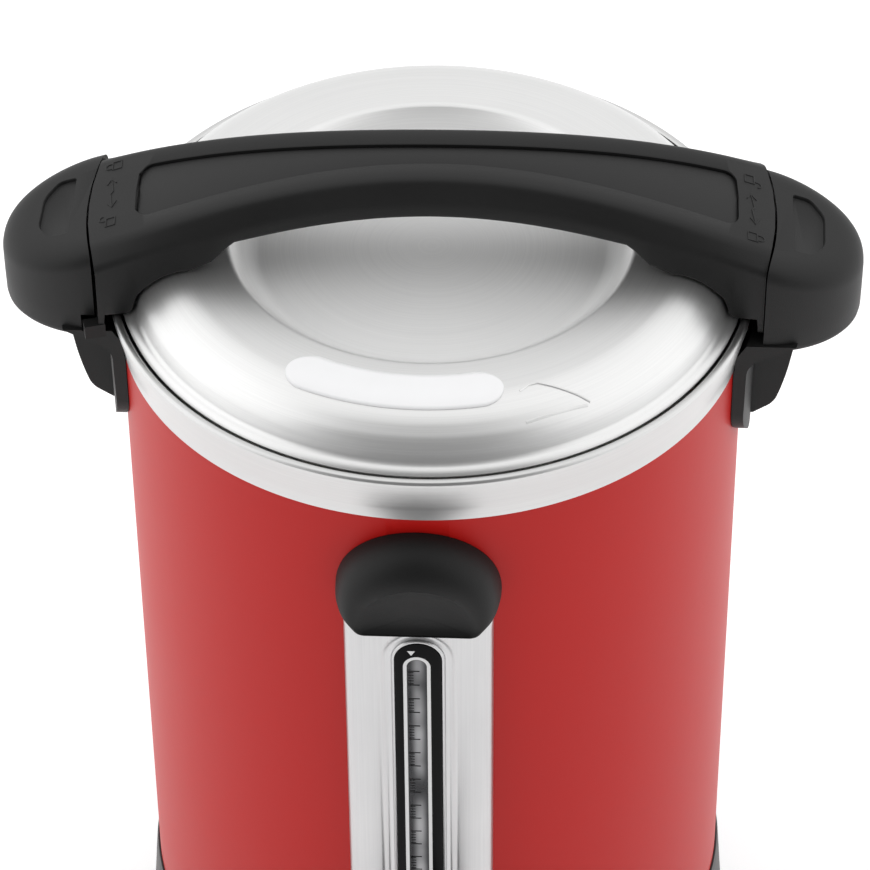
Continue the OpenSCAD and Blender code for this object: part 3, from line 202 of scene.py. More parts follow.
def ivory_look(place):
    cloud = place.grain(0.01, 3.0)
    return {"Base Color": cloud.blend(paint(214, 208, 190), paint(228, 223, 206)),
            "Roughness": 0.42 + 0.1 * cloud, "Normal": place.grain(0.0007).bump(0.00003)}


dress(surfaced("ivory_plastic", ivory_look), "terminal_block")


# ------------------------------------------------------------ plated and bare steel fittings
# Plates, studs, nuts and screws are zinc-plated with the bluish bloom that the
# bath leaves; the heater's plate is cast aluminium with a sandy skin.

def zinc_look(place):
    bloom = place.grain(0.012, 5.0)
    return {"Base Color": bloom.blend(paint(176, 178, 180), paint(206, 206, 200)),
            "Metallic": 1.0, "Roughness": 0.3 + 0.2 * bloom,
            "Normal": place.grain(0.0009, 3.0).bump(0.00002)}


zinc_plate = surfaced("zinc_plate", zinc_look)
dress(zinc_plate, "base_plate", "base_nuts", "tie_rods", "inlet_screws", "panel_screws", "left_bracket",
      "right_bracket", "grip_screws", "bridge_screws", "thermostat_spindle", "thermostat_body")


def cast_look(place):
    sand = place.grain(0.0016, 4.0)
    return {"Base Color": sand.blend(paint(168, 168, 170), paint(200, 200, 203)),
            "Metallic": 1.0, "Roughness": 0.45 + 0.15 * sand, "Normal": sand.bump(0.0001)}


dress(surfaced("cast_aluminium", cast_look), "heat_plate")


# ------------------------------------------------------------ tank, liner and small steel parts
# Deep-drawn and turned stainless steel: fine lines run round the axis, as the
# spinning tool and the polishing belt leave them.

def spun_look(dark, light, rough, brush=0.0):
    def look(place):
        radius = (place.part("X") ** 2 + place.part("Y") ** 2) ** 0.5
        thin = place.node("VectorMath", {"operation": "MULTIPLY"}, {0: place, 1: (14.0, 14.0, 2600.0)})
        lines = place.node("TexNoise", {"noise_dimensions": "4D"},
                           {"Vector": thin, "W": radius * 2600.0, "Scale": 1.0, "Detail": 3.0,
                            "Roughness": 0.6})
        cloud = place.grain(0.06, 3.0)
        shade = lines * 0.7 + cloud * 0.3
        return {"Base Color": shade.blend(paint(dark, dark, dark), paint(light, light, light - 1)),
                "Metallic": 1.0, "Roughness": rough - 0.05 + 0.1 * lines,
                "Anisotropic": brush, "Anisotropic Rotation": 0.25,
                "Normal": lines.bump(0.000012)}
    return look


spun_steel = surfaced("spun_steel", spun_look(196, 222, 0.3))
dress(spun_steel, "inner_tank", "lid_liner", "tap_nut", "lever_pin", "valve_stem", "valve_spring",
      "heating_element")


def silicone_look(place):
    cloud = place.grain(0.01, 3.0)
    return {"Base Color": cloud.blend(paint(196, 195, 190), paint(214, 213, 208)),
            "Roughness": 0.5 + 0.1 * cloud, "Subsurface Weight": 0.1, "Subsurface Scale": 0.002,
            "Normal": place.grain(0.0012).bump(0.00003)}


dress(surfaced("grey_silicone", silicone_look), "rim_seal", "valve_cup")


# ------------------------------------------------------------ outer shell
# A cylinder of rolled sheet steel, powder-coated in satin red inside and out.
# Its foot stands in the base and its top edge carries the collar.

def wire(points, closed=True, segments=5):
    """A line in the XZ plane through (x, z) points, with (x, z, run) corners rounded"""
    bm = bmesh.new()
    corners = [bm.verts.new((point[0], 0, point[1])) for point in points]
    for first, second in zip(corners, corners[1:] + corners[:closed]):
        bm.edges.new((first, second))
    for corner, point in zip(corners, points):
        if len(point) > 2:
            bmesh.ops.bevel(bm, geom=[corner], offset=point[2], offset_type="OFFSET", segments=segments,
                            profile=0.5, affect="VERTICES", material=-1)
    return bm


def turned(bm, steps=256):
    bmesh.ops.spin(bm, geom=bm.verts[:] + bm.edges[:], axis=(0, 0, 1), cent=(0, 0, 0), angle=2 * math.pi,
                   steps=steps, use_merge=True)
    bmesh.ops.remove_doubles(bm, verts=bm.verts, dist=0.0005)
    bmesh.ops.recalc_face_normals(bm, faces=bm.faces)
    return bm


def settled(name, bm, sharp=30):
    """Makes the object: from millimetres to metres, smooth but for its sharp edges"""
    bm.transform(Matrix.Scale(0.001, 4))
    bm.normal_update()
    for face in bm.faces:
        face.smooth = True
    for edge in bm.edges:
        edge.smooth = len(edge.link_faces) != 2 or edge.calc_face_angle() < math.radians(sharp)
    mesh = bpy.data.meshes.new(name)
    bm.to_mesh(mesh)
    bm.free()
    piece = bpy.data.objects.new(name, mesh)
    bpy.context.scene.collection.objects.link(piece)
    return piece


def fitted(piece, material, body, slot, *nodes):
    """The piece takes its finish and rides on its body in the place of its nodes"""
    piece.data.materials.clear()
    piece.data.materials.append(material)
    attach(piece, body)
    if nodes:
        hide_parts(*nodes)
    return piece


def red_look(place):
    cloud = place.grain(0.09, 3.0)
    peel = place.grain(0.0032, 2.0)
    return {"Base Color": cloud.blend(paint(188, 18, 14), paint(194, 22, 17)),
            "Roughness": 0.4 + 0.06 * cloud,
            "Specular IOR Level": 0.26,
            "Normal": peel.bump(0.00002)}


shell_low, shell_high = [corner[2] * 1000 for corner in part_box("outer_shell")]
shell = settled("shell_red", turned(wire([(122.5, shell_low), (122.5, shell_high), (121.9, shell_high),
                                          (121.9, shell_low)])))


def carved(piece, tool, operation="DIFFERENCE"):
    """Cuts or joins one mesh with another for good"""
    modifier = piece.modifiers.new("carve", "BOOLEAN")
    modifier.object = tool
    modifier.operation = operation
    modifier.solver = "EXACT"
    mesh = bpy.data.meshes.new_from_object(piece.evaluated_get(bpy.context.evaluated_depsgraph_get()))
    piece.modifiers.clear()
    piece.data = mesh
    bpy.data.objects.remove(tool)
    return piece


# the slot behind the gauge
slot_tool = bmesh.new()
bmesh.ops.create_cube(slot_tool, size=1.0)
bmesh.ops.scale(slot_tool, vec=(20.2, 30, 210), verts=slot_tool.verts)
bmesh.ops.translate(slot_tool, vec=(0, -122, 213), verts=slot_tool.verts)
carved(shell, settled("slot_tool", slot_tool))
fitted(shell, surfaced("satin_red_coat", red_look), "root", "painted_shell", "outer_shell")


# ------------------------------------------------------------ rim collar
# A steel ring rolled from strip and pressed over the shell's edge. It widens
# gently to a rounded lip, and its ledge holds the tank.

COLLAR_Z = 360.0

collar_outline = [(122.9, 0), (123.0, 3.5, 3.0), (126.2, 17.5, 3.0), (126.7, 20.8, 0.7), (126.0, 21.9, 0.5),
                  (124.3, 22, 0.4), (123.6, 21.4), (123.6, 12), (112, 12), (112, 10), (119.5, 10, 0.8),
                  (119.5, -10), (121.5, -10), (121.5, 0)]
collar = turned(wire(collar_outline))
collar.transform(Matrix.Translation((0, 0, COLLAR_Z)))
collar = settled("rim_collar_steel", collar)
fitted(collar, surfaced("collar_steel", spun_look(192, 220, 0.33, 0.3)), "root", "lid_steel", "rim_collar")


# ------------------------------------------------------------ lid
# A spun steel pan: a dished middle, a rounded crest, a flat ring and a steep
# shoulder down to the edge. The locking mark is pressed up from below.

LID_TURN = Matrix.Rotation(math.radians(1.5), 4, "Z")
ON_LID = LID_TURN @ Matrix.Translation((0, 0, COLLAR_Z))

lid_line = [(0, 31), (70, 31, 3.2), (79, 39.6, 1.4), (101, 39.9, 3.4), (108.5, 36.9, 2.4), (115.3, 31.3, 3.2),
            (117.9, 22.9, 1.3), (122.3, 21.5)]
lid = turned(wire(lid_line, closed=False, segments=8), steps=288)
if sum(face.normal.z for face in lid.faces) < 0:
    bmesh.ops.reverse_faces(lid, faces=lid.faces)
lid_tree = BVHTree.FromBMesh(lid)


def dropped(tree, x, y):
    """The point of a surface straight below (x, y)"""
    return tree.ray_cast(Vector((x, y, 500)), Vector((0, 0, -1)))[0]


def drawn(bm, rings, closed=True):
    """Draws a ring of points out to the next ones, and closes both ends"""
    row = [bm.verts.new(point) for point in rings[0]]
    edges = [bm.edges.new(pair) for pair in zip(row, row[1:] + row[:closed])]
    start = edges[:]
    for ring in rings[1:]:
        made = bmesh.ops.extrude_edge_only(bm, edges=edges)["geom"]
        new = [item for item in made if isinstance(item, bmesh.types.BMEdge)]
        follower = {}
        for old in row:
            for edge in old.link_edges:
                other = edge.other_vert(old)
                if other not in row and edge not in new and any(e in new for e in other.link_edges):
                    follower[old] = other
        row = [follower[old] for old in row]
        for vert, point in zip(row, ring):
            vert.co = point
        row_set = set(row)
        edges = [edge for edge in new if edge.verts[0] in row_set and edge.verts[1] in row_set]
    if closed:
        bmesh.ops.contextual_create(bm, geom=start)
        bmesh.ops.contextual_create(bm, geom=edges)
    return bm


def ribs(lines, tree, width, height):
    """Raised ribs of one width that follow lines over a surface"""
    bm = bmesh.new()
    for corners in lines:
        line, rings = [Vector(corners[0])], []
        for first, second in zip(corners, corners[1:]):
            parts = math.ceil((Vector(second) - Vector(first)).length / 1.5)
            line += [Vector(first).lerp(Vector(second), k / parts) for k in range(1, parts + 1)]
        for k, point in enumerate(line):
            here = point
            before = line[max(k - 1, 0)]
            after = line[min(k + 1, len(line) - 1)]
            ahead = (after - here).normalized() if k + 1 < len(line) else (here - before).normalized()
            back = (here - before).normalized() if k else ahead
            along = (ahead + back).normalized()
            aside = Vector((-along.y, along.x)) / max(0.4, along.dot(ahead)) * width / 2
            ring = []
            for share, rise in ((-1, -0.3), (-1, height * 0.6), (-0.5, height), (0.5, height),
                                (1, height * 0.6), (1, -0.3)):
                spot = here + aside * share
                ring.append(dropped(tree, *spot) + Vector((0, 0, rise)))
            rings.append(ring)
        drawn(bm, rings)
    bmesh.ops.recalc_face_normals(bm, faces=bm.faces)
    return bm


def polar(radius, degrees):
    return (radius * math.cos(math.radians(degrees)), radius * math.sin(math.radians(degrees)))


def lid_look(place):
    radius = (place.part("X") ** 2 + place.part("Y") ** 2) ** 0.5
    outside = radius.step(0.072, 0.079)
    thin = place.node("VectorMath", {"operation": "MULTIPLY"}, {0: place, 1: (14.0, 14.0, 2600.0)})
    lines = place.node("TexNoise", {"noise_dimensions": "4D"},
                       {"Vector": thin, "W": radius * 2600.0, "Scale": 1.0, "Detail": 3.0, "Roughness": 0.6})
    return {"Base Color": (lines * 0.7 + place.grain(0.06, 3.0) * 0.3).blend(paint(214, 214, 214),
                                                                             paint(238, 238, 237)),
            "Metallic": 0.25 + 0.67 * outside, "Roughness": 0.52 - 0.16 * outside + 0.08 * lines,
            "Anisotropic": 0.5 * outside, "Anisotropic Rotation": 0.25,
            "Normal": lines.bump(0.000012)}


lid_material = surfaced("lid_steel_spun", lid_look)
mark = ribs([[(34.5, -94.8), (37.6, -91.6), (41.0, -90.4), (60.6, -94.2)], [(59.6, -95.6), (37.0, -106.0)]],
            lid_tree, 0.8, 0.4)
mark.transform(ON_LID)
fitted(settled("lid_pressed_mark", mark), lid_material, "lid", "lid_steel")

# the blank label: thin white vinyl in the shape of a bean, stuck on the flat ring
label = bmesh.new()
bmesh.ops.create_grid(label, x_segments=72, y_segments=10, size=1.0)
LABEL_LONG, LABEL_WIDE, LABEL_R, LABEL_MIDDLE = 41.5, 9.1, 95.5, -97.7
for vert in label.verts:
    bend = math.sin(vert.co.x * math.pi / 2)
    over = max(0.0, abs(bend) * LABEL_LONG - (LABEL_LONG - LABEL_WIDE)) / LABEL_WIDE
    out = vert.co.y * LABEL_WIDE * math.sqrt(max(0.0004, 1 - min(over, 1) ** 2))
    x, y = polar(LABEL_R + out, LABEL_MIDDLE + math.degrees(bend * LABEL_LONG / LABEL_R))
    vert.co = dropped(lid_tree, x, y) + Vector((0, 0, 0.12))
label.transform(ON_LID)
label = settled("blank_label", label)
label.modifiers.new("thickness", "SOLIDIFY").thickness = 0.0001


def vinyl_look(place):
    cloud = place.grain(0.02, 3.0)
    return {"Base Color": cloud.blend(paint(240, 240, 241), paint(247, 247, 248)),
            "Roughness": 0.3 + 0.08 * cloud, "Normal": place.grain(0.002).bump(0.00001)}


fitted(label, surfaced("white_vinyl", vinyl_look), "lid", "lid_steel")

lid.transform(ON_LID)
lid = settled("lid_pan_spun", lid)
thickness = lid.modifiers.new("thickness", "SOLIDIFY")
thickness.thickness = 0.0008
fitted(lid, lid_material, "lid", "lid_steel", "lid_pan")


# ------------------------------------------------------------ bridge handle
# A black phenolic bridge over the lid, screwed on from below. Its section goes
# from a crowned bar to two wide legs; a smooth inlay lies in a recess on top.

BRIDGE_R, LEG_IN, INLAY_HALF, INLAY_SHIFT = 132.2, 77.2, 115.0, 2.5


def bridge_top(t):
    return 76.4 - 27.4 * t ** 2 + 0.9 * t ** 4


def bridge_edge_z(t):
    return bridge_top(t) - 11.4 + 6.8 * t ** 2 - 0.9 * t ** 4


def bridge_edge_w(t):
    return 19 + 16 * (1.51 * t ** 2 - 0.51 * t ** 4)


def bridge_top_w(t):
    return bridge_edge_w(t) - 3.3 - 2.6 * t ** 2 - 3.4 * t ** 4


def bridge_under(t):
    return 58.5 - 27.3 * t ** 2 + 14 * t ** 4


def inlay_w(t):
    return bridge_top_w(t) - 10 + 0.8 * t ** 2


def eased(points, segments=4):
    """A line whose (y, z, cut) corners are rounded, always with the same count of points"""
    line = [Vector(points[0][:2])]
    for before, point, after in zip(points, points[1:], points[2:]):
        here, cut = Vector(point[:2]), point[2]
        first = here + (Vector(before[:2]) - here).normalized() * cut
        last = here + (Vector(after[:2]) - here).normalized() * cut
        for k in range(segments + 1):
            u = k / segments
            line.append(first * (1 - u) ** 2 + here * 2 * u * (1 - u) + last * u ** 2)
    line.append(Vector(points[-1][:2]))
    return line


def recess(x, margin=0.15):
    """Half width and depth of the inlay's recess at x"""
    over = abs(x - INLAY_SHIFT) - (INLAY_HALF - 5)
    if over > 5 + margin:
        return inlay_w(abs(x) / BRIDGE_R) - 5, 0.0
    return inlay_w(abs(x) / BRIDGE_R) + margin - 5 + math.sqrt(max(0.01, 25 - max(0, over) ** 2)), 3.4


def bridge_half(side, x, low):
    t = x / BRIDGE_R
    top, edge, w, wt = bridge_top(t), bridge_edge_z(t), bridge_edge_w(t), bridge_top_w(t)
    leg = max(0.0, min(1.0, (x - LEG_IN) / 8))
    inlay, depth = recess(side * x)
    rim = min(0.35, depth)
    under = eased([(0, low), (w - 1.4 * (1 - leg) - 0.1 * leg, low, 2.8 - 1.4 * leg), (w, edge, 2.4),
                   (wt + 0.6, top - 0.2, 2.6), (inlay + 0.5, top)])
    return under + [Vector((inlay, top - rim)), Vector((inlay - 0.05, top - depth)), Vector((0, top - depth))]


def bent_x(a, y):
    u = max(0.0, min(1.0, (a - LEG_IN * 0.6) / (97.3 - LEG_IN * 0.6)))
    share = u * u * (3 - 2 * u)
    return a - share * (a - math.sqrt(max(0.0, a * a - y * y)))


def bridge_ring(side, a, low):
    points = []
    for k, first in enumerate(bridge_half(side, a, low)):
        own = bridge_half(side, bent_x(a, first.x), low)[k]
        points.append((side * bent_x(a, own.x), own.x, own.y))
    back = [(x, -y, z) for x, y, z in reversed(points[1:-1])]
    return points + back


leg_floor = [(97.3, 40.3), (100, 40.6), (102.5, 40.0), (105.5, 39.2), (108.7, 37.6), (111.5, 35.8),
             (114.6, 33.4), (116.8, 31.0), (118.2, 27.2), (119.0, 24.2), (120.6, 22.7), (121.4, 22.5),
             (125.5, 22.5), (129.6, 22.5), (130.0, 19.5), (130.2, 16.5), (131.2, 16.5), (132.2, 16.5)]
span = [(LEG_IN * k / 26, bridge_under(LEG_IN * k / 26 / BRIDGE_R)) for k in range(1, 26)]
shoulder = [(LEG_IN + k * 2.5, bridge_under(LEG_IN / BRIDGE_R) - k * 1.8) for k in range(5)]
half_path = span + shoulder + leg_floor


def with_recess_ends(path):
    """Adds stations where the recess rounds off, so that its end wall is crisp"""
    places = [INLAY_HALF + shift + step for shift in (-INLAY_SHIFT, INLAY_SHIFT)
              for step in (-5, -3.6, -2.2, -1.1, -0.4, 0.0, 0.14, 0.3)]
    lows = dict(path)
    line = sorted(path)
    for place in places:
        before = max(p for p in line if p[0] <= place)
        after = min(p for p in line if p[0] >= place)
        share = 0 if after[0] == before[0] else (place - before[0]) / (after[0] - before[0])
        lows[place] = before[1] + share * (after[1] - before[1])
    return sorted(lows.items())


half_path = with_recess_ends(half_path)
bridge = bmesh.new()
drawn(bridge, [bridge_ring(-1, a, low) for a, low in reversed(half_path)]
      + [bridge_ring(1, 0, bridge_under(0))] + [bridge_ring(1, a, low) for a, low in half_path])
bmesh.ops.remove_doubles(bridge, verts=bridge.verts, dist=0.002)
bmesh.ops.recalc_face_normals(bridge, faces=bridge.faces)
bridge_tree = BVHTree.FromBMesh(bridge)


def arc_block(bm, section, first, last):
    """A block whose (radius, z) section is swept round the axis between two angles"""
    face = bm.faces.new([bm.verts.new((r, 0, z)) for r, z in section])
    bmesh.ops.rotate(bm, verts=face.verts, cent=(0, 0, 0),
                     matrix=Matrix.Rotation(math.radians(first), 3, "Z"))
    bmesh.ops.spin(bm, geom=[face] + face.edges[:] + face.verts[:], axis=(0, 0, 1), cent=(0, 0, 0),
                   angle=math.radians(last - first), steps=max(2, round(last - first)))


lug_low, lug_start = 12.6, math.degrees(math.asin(33.9 / 138.2)) + 0.45 - 1.5
for side in (0, 180):
    arc_block(bridge, [(129.8, lug_low), (137.8, lug_low), (137.8, lug_low + 6), (129.8, lug_low + 6)],
              side + lug_start, side + lug_start + 2.1)
    arc_block(bridge, [(129.8, lug_low), (132.0, lug_low), (132.0, lug_low + 8), (129.8, lug_low + 8)],
              side + 3, side + lug_start + 0.4)
bmesh.ops.recalc_face_normals(bridge, faces=bridge.faces)


def grained_look(dark, light, rough):
    def look(place):
        cloud = place.grain(0.025, 4.0)
        fine = place.grain(0.00055, 2.0)
        return {"Base Color": cloud.blend(paint(dark, dark, dark), paint(light, light, light)),
                "Roughness": rough + 0.08 * cloud + 0.06 * fine,
                "Specular IOR Level": 0.3,
                "Normal": fine.bump(0.00005)}
    return look


handle_black = surfaced("phenolic_black", grained_look(22, 28, 0.44))


# the lock marks at both ends: closed padlock, turning arrow and open padlock
def padlock(x, y, opened):
    body = [(x - 2.6, y - 2.3), (x + 0.9, y - 2.3), (x + 0.9, y + 2.3), (x - 2.6, y + 2.3),
            (x - 2.6, y - 2.3)]
    aside = 2.6 if opened else 0.0
    bow = [(x + 0.9, y - 1.5 + aside)] + [
        (x + 2.2 + 1.5 * math.sin(math.radians(a)), y + aside - 1.5 * math.cos(math.radians(a)))
        for a in range(0, 181, 30)] + [(x + (2.2 if opened else 0.9), y + 1.5 + aside)]
    return [body, bow]


marks = []
for side in (-1, 1):
    strokes = padlock(0, 20.5, False) + padlock(0, -14.5, True) + [
        [(-0.6, -5.0), (0.5, 2.7), (-0.5, 4.3), (0.6, 12.0)],
        [(-2.2, -2.1), (-0.6, -5.3), (1.4, -2.4)], [(-1.4, 9.4), (0.6, 12.3), (2.2, 9.1)]]
    for stroke in strokes:
        marks.append([(side * (123.6 + x), -side * y) for x, y in stroke])
mark = ribs(marks, bridge_tree, 0.5, 0.28)
mark.transform(ON_LID)
fitted(settled("bridge_lock_marks", mark), handle_black, "lid", "handle_black")

bridge.transform(ON_LID)
fitted(settled("bridge_handle_moulded", bridge, 38), handle_black, "lid", "handle_black", "bridge_handle")
dress(handle_black, "bridge_cover", "steam_vent")

# the inlay, a smooth strip that is pressed into the recess
inlay = bmesh.new()
rings = []
for k in range(-40, 41):
    share = abs(k) / 40
    reach = math.copysign((INLAY_HALF - 5) * share / 0.8 if share < 0.8 else
                          INLAY_HALF - 5 + 5 * math.sin((share - 0.8) / 0.2 * math.pi / 2), k)
    over = max(0.0, abs(reach) - INLAY_HALF + 5)
    reach += INLAY_SHIFT
    w = inlay_w(abs(reach) / BRIDGE_R) - 5 + math.sqrt(max(0.01, 25 - over ** 2))
    z = bridge_top(abs(reach) / BRIDGE_R) - 1.4
    half = eased([(0, z - 2), (w, z - 2, 0.01), (w, z, 0.7), (0, z + 0.35)])
    points = [(reach, p.x, p.y) for p in half]
    rings.append(points + [(x, -y, z) for x, y, z in reversed(points[1:-1])])
drawn(inlay, rings)
bmesh.ops.remove_doubles(inlay, verts=inlay.verts, dist=0.002)
bmesh.ops.recalc_face_normals(inlay, faces=inlay.faces)
inlay.transform(ON_LID)
inlay_black = surfaced("inlay_black", grained_look(26, 31, 0.4))
fitted(settled("bridge_inlay", inlay), inlay_black, "lid", "insert_black", "handle_insert")


# ------------------------------------------------------------ side grips
# Two black phenolic grips, screwed through the shell: a rounded lobe with a
# thumb rest, a leg down the shell, a web below and the channel for the lug.

GRIP_IN, GRIP_HALF, GRIP_REACH = 133.0, 33.0, 35.3


def grip_face(x):
    return 49 - 0.33 * (x - GRIP_IN)


def grip_ring(inset, level, drop=0.0):
    lobe = []
    for k in range(-30, 31):
        a = math.radians(89.9 * k / 30)
        lobe.append((GRIP_IN - 1 + (GRIP_REACH - inset) * math.cos(a) ** (2 / 1.8),
                     math.copysign((GRIP_HALF - inset) * abs(math.sin(a)) ** (2 / 2.2), k)))
    wall = [(math.sqrt(GRIP_IN ** 2 - y * y), y) for x, y in reversed(lobe)]
    return [(x, y, grip_face(x) - drop if level is None else level) for x, y in lobe + wall]


def slab(bm, outline, thick, matrix):
    """A plate with a rounded (x, z) outline, thick along Y, set in place by the matrix"""
    plate = wire(outline)
    bmesh.ops.contextual_create(plate, geom=plate.edges[:])
    made = bmesh.ops.extrude_face_region(plate, geom=plate.faces[:])["geom"]
    bmesh.ops.translate(plate, verts=[v for v in made if isinstance(v, bmesh.types.BMVert)],
                        vec=(0, thick, 0))
    bmesh.ops.recalc_face_normals(plate, faces=plate.faces)
    plate.transform(matrix)
    mesh = bpy.data.meshes.new("plate")
    plate.to_mesh(mesh)
    plate.free()
    bm.from_mesh(mesh)
    bpy.data.meshes.remove(mesh)
    return bm


lobe = bmesh.new()
levels = []
for k in range(13):
    a = math.radians(90 * k / 12)
    levels.append(grip_ring(13 * (1 - math.sin(a)), None, 8 * (1 - math.cos(a)) ** 1.55))
levels += [grip_ring(0, 20), grip_ring(0.1, 11), grip_ring(0.4, 9.4), grip_ring(1.1, 8.4), grip_ring(2.5, 8)]
drawn(lobe, levels)
bmesh.ops.recalc_face_normals(lobe, faces=lobe.faces)
grip = settled("grip_phenolic", lobe)

leg = bmesh.new()
leg_line = wire([(126.9, -54), (127.7, 3, 5), (141, 9.4, 4), (145.6, 12.3), (127.1, 12.3), (123.2, 5.5),
                 (123.2, -0.4), (122.8, -0.4), (122.8, -54)])
bmesh.ops.contextual_create(leg_line, geom=leg_line.edges[:])
leg_line.transform(Matrix.Rotation(math.radians(-20), 4, "Z"))
bmesh.ops.spin(leg_line, geom=leg_line.faces[:] + leg_line.edges[:] + leg_line.verts[:], axis=(0, 0, 1),
               cent=(0, 0, 0), angle=math.radians(40), steps=40)
bmesh.ops.recalc_face_normals(leg_line, faces=leg_line.faces)
leg = settled("leg", leg_line)
front = slab(bmesh.new(), [(-34, 13.5), (34, 13.5), (34, -29, 6), (15.3, -46.8, 8), (-15.3, -46.8, 8),
                           (-34, -29, 6)], 60,
             Matrix.Translation((100, 0, 0)) @ Matrix.Rotation(math.radians(-90), 4, "Z"))
carved(leg, settled("front", front), "INTERSECT")
carved(grip, leg, "UNION")
web = slab(bmesh.new(), [(124.5, 9), (148, 9), (142.5, -4, 6), (139.5, -23.4, 8), (135.6, -36, 3),
                         (127.5, -41.6), (124.5, -41.6)], 22, Matrix.Translation((0, -11, 0)))
carved(grip, settled("web", web), "UNION")
channel = bmesh.new()
arc_block(channel, [(131, 11.9), (138.2, 11.9), (138.2, 19.3), (131, 19.3)], 2, 24)
bmesh.ops.recalc_face_normals(channel, faces=channel.faces)
carved(grip, settled("channel", channel))
rest = bmesh.new()
rest_outline = [(-6.2, -17, 1.0), (1, -16.8, 2.2), (6.2, -9, 3), (6.6, 9, 3), (1, 16.8, 2.2), (-6.2, 17, 1.0)]
plate = wire(rest_outline)
loop = [v.co.copy() for v in sorted(plate.verts, key=lambda v: math.atan2(v.co.z, v.co.x))]
plate.free()
rest_x = GRIP_IN + 12.5
tilt = Matrix.Translation((rest_x, 0, grip_face(rest_x))) @ Matrix.Rotation(math.atan(0.33), 4, "Y")
rings = []
for grow, height in ((-0.5, -1.6), (-0.1, -1.4), (0.0, -0.5), (0.15, -0.15), (0.6, 0.3), (0.6, 6)):
    rings.append([tilt @ Vector((p.x * (1 + grow / 6.4), p.z * (1 + grow / 17), height)) for p in loop])
drawn(rest, rings)
bmesh.ops.recalc_face_normals(rest, faces=rest.faces)
carved(grip, settled("rest", rest))

for name, node, turn in (("right_grip_moulded", "right_grip", 0), ("left_grip_moulded", "left_grip", 180)):
    bm = bmesh.new()
    bm.from_mesh(grip.data)
    bmesh.ops.remove_doubles(bm, verts=bm.verts, dist=0.000002)
    bm.transform(Matrix.Rotation(math.radians(turn), 4, "Z") @ Matrix.Translation((0, 0, COLLAR_Z / 1000)))
    bm.transform(Matrix.Scale(1000, 4))
    piece = settled(name, bm, 32)
    edging = piece.modifiers.new("edging", "BEVEL")
    edging.width, edging.segments = 0.0009, 3
    edging.limit_method, edging.angle_limit = "ANGLE", math.radians(38)
    fitted(piece, handle_black, "root", "handle_black", node)
bpy.data.objects.remove(grip)


# ------------------------------------------------------------ gauge cover
# A channel of stainless sheet folded over the gauge. A frame is pressed in
# round the lens, and a rolled bead of bright steel edges the opening.

GAUGE_LOW, GAUGE_HIGH = 136.0, 302.5


def stadium(half, y, low=GAUGE_LOW + 9.1, high=GAUGE_HIGH - 9.1, turn=16, straight=24):
    """A ring round the gauge, anticlockwise as seen from the front"""
    points = [(half * math.cos(math.pi * k / turn), high + half * math.sin(math.pi * k / turn))
              for k in range(turn + 1)]
    points += [(-half, high + (low - high) * k / straight) for k in range(1, straight)]
    points += [(-half * math.cos(math.pi * k / turn), low - half * math.sin(math.pi * k / turn))
               for k in range(turn + 1)]
    points += [(half, low + (high - low) * k / straight) for k in range(1, straight)]
    return [(x, -y, z) for x, z in points]


def framed(points, half, low, high):
    """The same ring pushed out to a rectangle"""
    middle = (low + high) / 2
    centre_high, centre_low = GAUGE_HIGH - 9.1, GAUGE_LOW + 9.1
    ring = []
    for x, y, z in points:
        foot = min(max(z, centre_low), centre_high)
        dx, dz = x, z - foot
        reach = [half / abs(dx)] if abs(dx) > 1e-6 else []
        if abs(dz) > 1e-6:
            reach.append(((high - foot) if dz > 0 else (foot - low)) / abs(dz))
        ring.append((dx * min(reach), y, foot + dz * min(reach)))
    return ring


cover = bmesh.new()
profile = [(7.6, 129.15), (8.9, 129.15), (8.98, 129.8), (9.3, 130.15), (9.8, 130.2), (10.3, 129.8),
           (10.5, 129.1), (11.3, 128.75), (12.2, 128.6), (13.0, 128.85), (13.8, 129.5), (14.6, 129.92),
           (15.6, 130.0)]
rings = [stadium(half, y) for half, y in profile]
cover_low, cover_high = 60.0, 326.0
rings.append(framed(rings[-1], 23.5, cover_low, cover_high))
drawn(cover, rings)
for face in [f for f in cover.faces if len(f.verts) > 8]:
    cover.faces.remove(face)
for side in (-1, 1):
    edges = [e for e in cover.edges if all(abs(v.co.x - side * 23.5) < 0.01 for v in e.verts)]
    foot = math.sqrt(122.7 ** 2 - 28.5 ** 2)
    path = [(23.5 + 5 * math.sin(math.radians(a)), 125 + 5 * math.cos(math.radians(a)))
            for a in (15, 30, 45, 60, 75, 90)] + [(28.5, foot)]
    for x, y in path:
        made = bmesh.ops.extrude_edge_only(cover, edges=edges)["geom"]
        verts = [v for v in made if isinstance(v, bmesh.types.BMVert)]
        for vert in verts:
            vert.co.x, vert.co.y = side * x, -y
        edges = [e for e in made if isinstance(e, bmesh.types.BMEdge) and all(v in verts for v in e.verts)]
bmesh.ops.remove_doubles(cover, verts=cover.verts, dist=0.001)
bmesh.ops.recalc_face_normals(cover, faces=cover.faces)
if sum(face.normal.y * face.calc_area() for face in cover.faces) > 0:
    bmesh.ops.reverse_faces(cover, faces=cover.faces)


def strip_look(place):
    thin = place.node("VectorMath", {"operation": "MULTIPLY"}, {0: place, 1: (1500.0, 1500.0, 12.0)})
    lines = place.node("TexNoise", {}, {"Vector": thin, "Scale": 1.0, "Detail": 3.0, "Roughness": 0.6})
    cloud = place.grain(0.05, 3.0)
    return {"Base Color": (lines * 0.6 + cloud * 0.4).blend(paint(182, 182, 183), paint(214, 214, 214)),
            "Metallic": 1.0, "Roughness": 0.27 + 0.1 * lines, "Normal": lines.bump(0.000012)}


cover = settled("gauge_cover_folded", cover, 40)
cover.modifiers.new("thickness", "SOLIDIFY").thickness = 0.0008
strip_steel = surfaced("strip_steel", strip_look)
fitted(cover, strip_steel, "root", "steel", "gauge_cover")


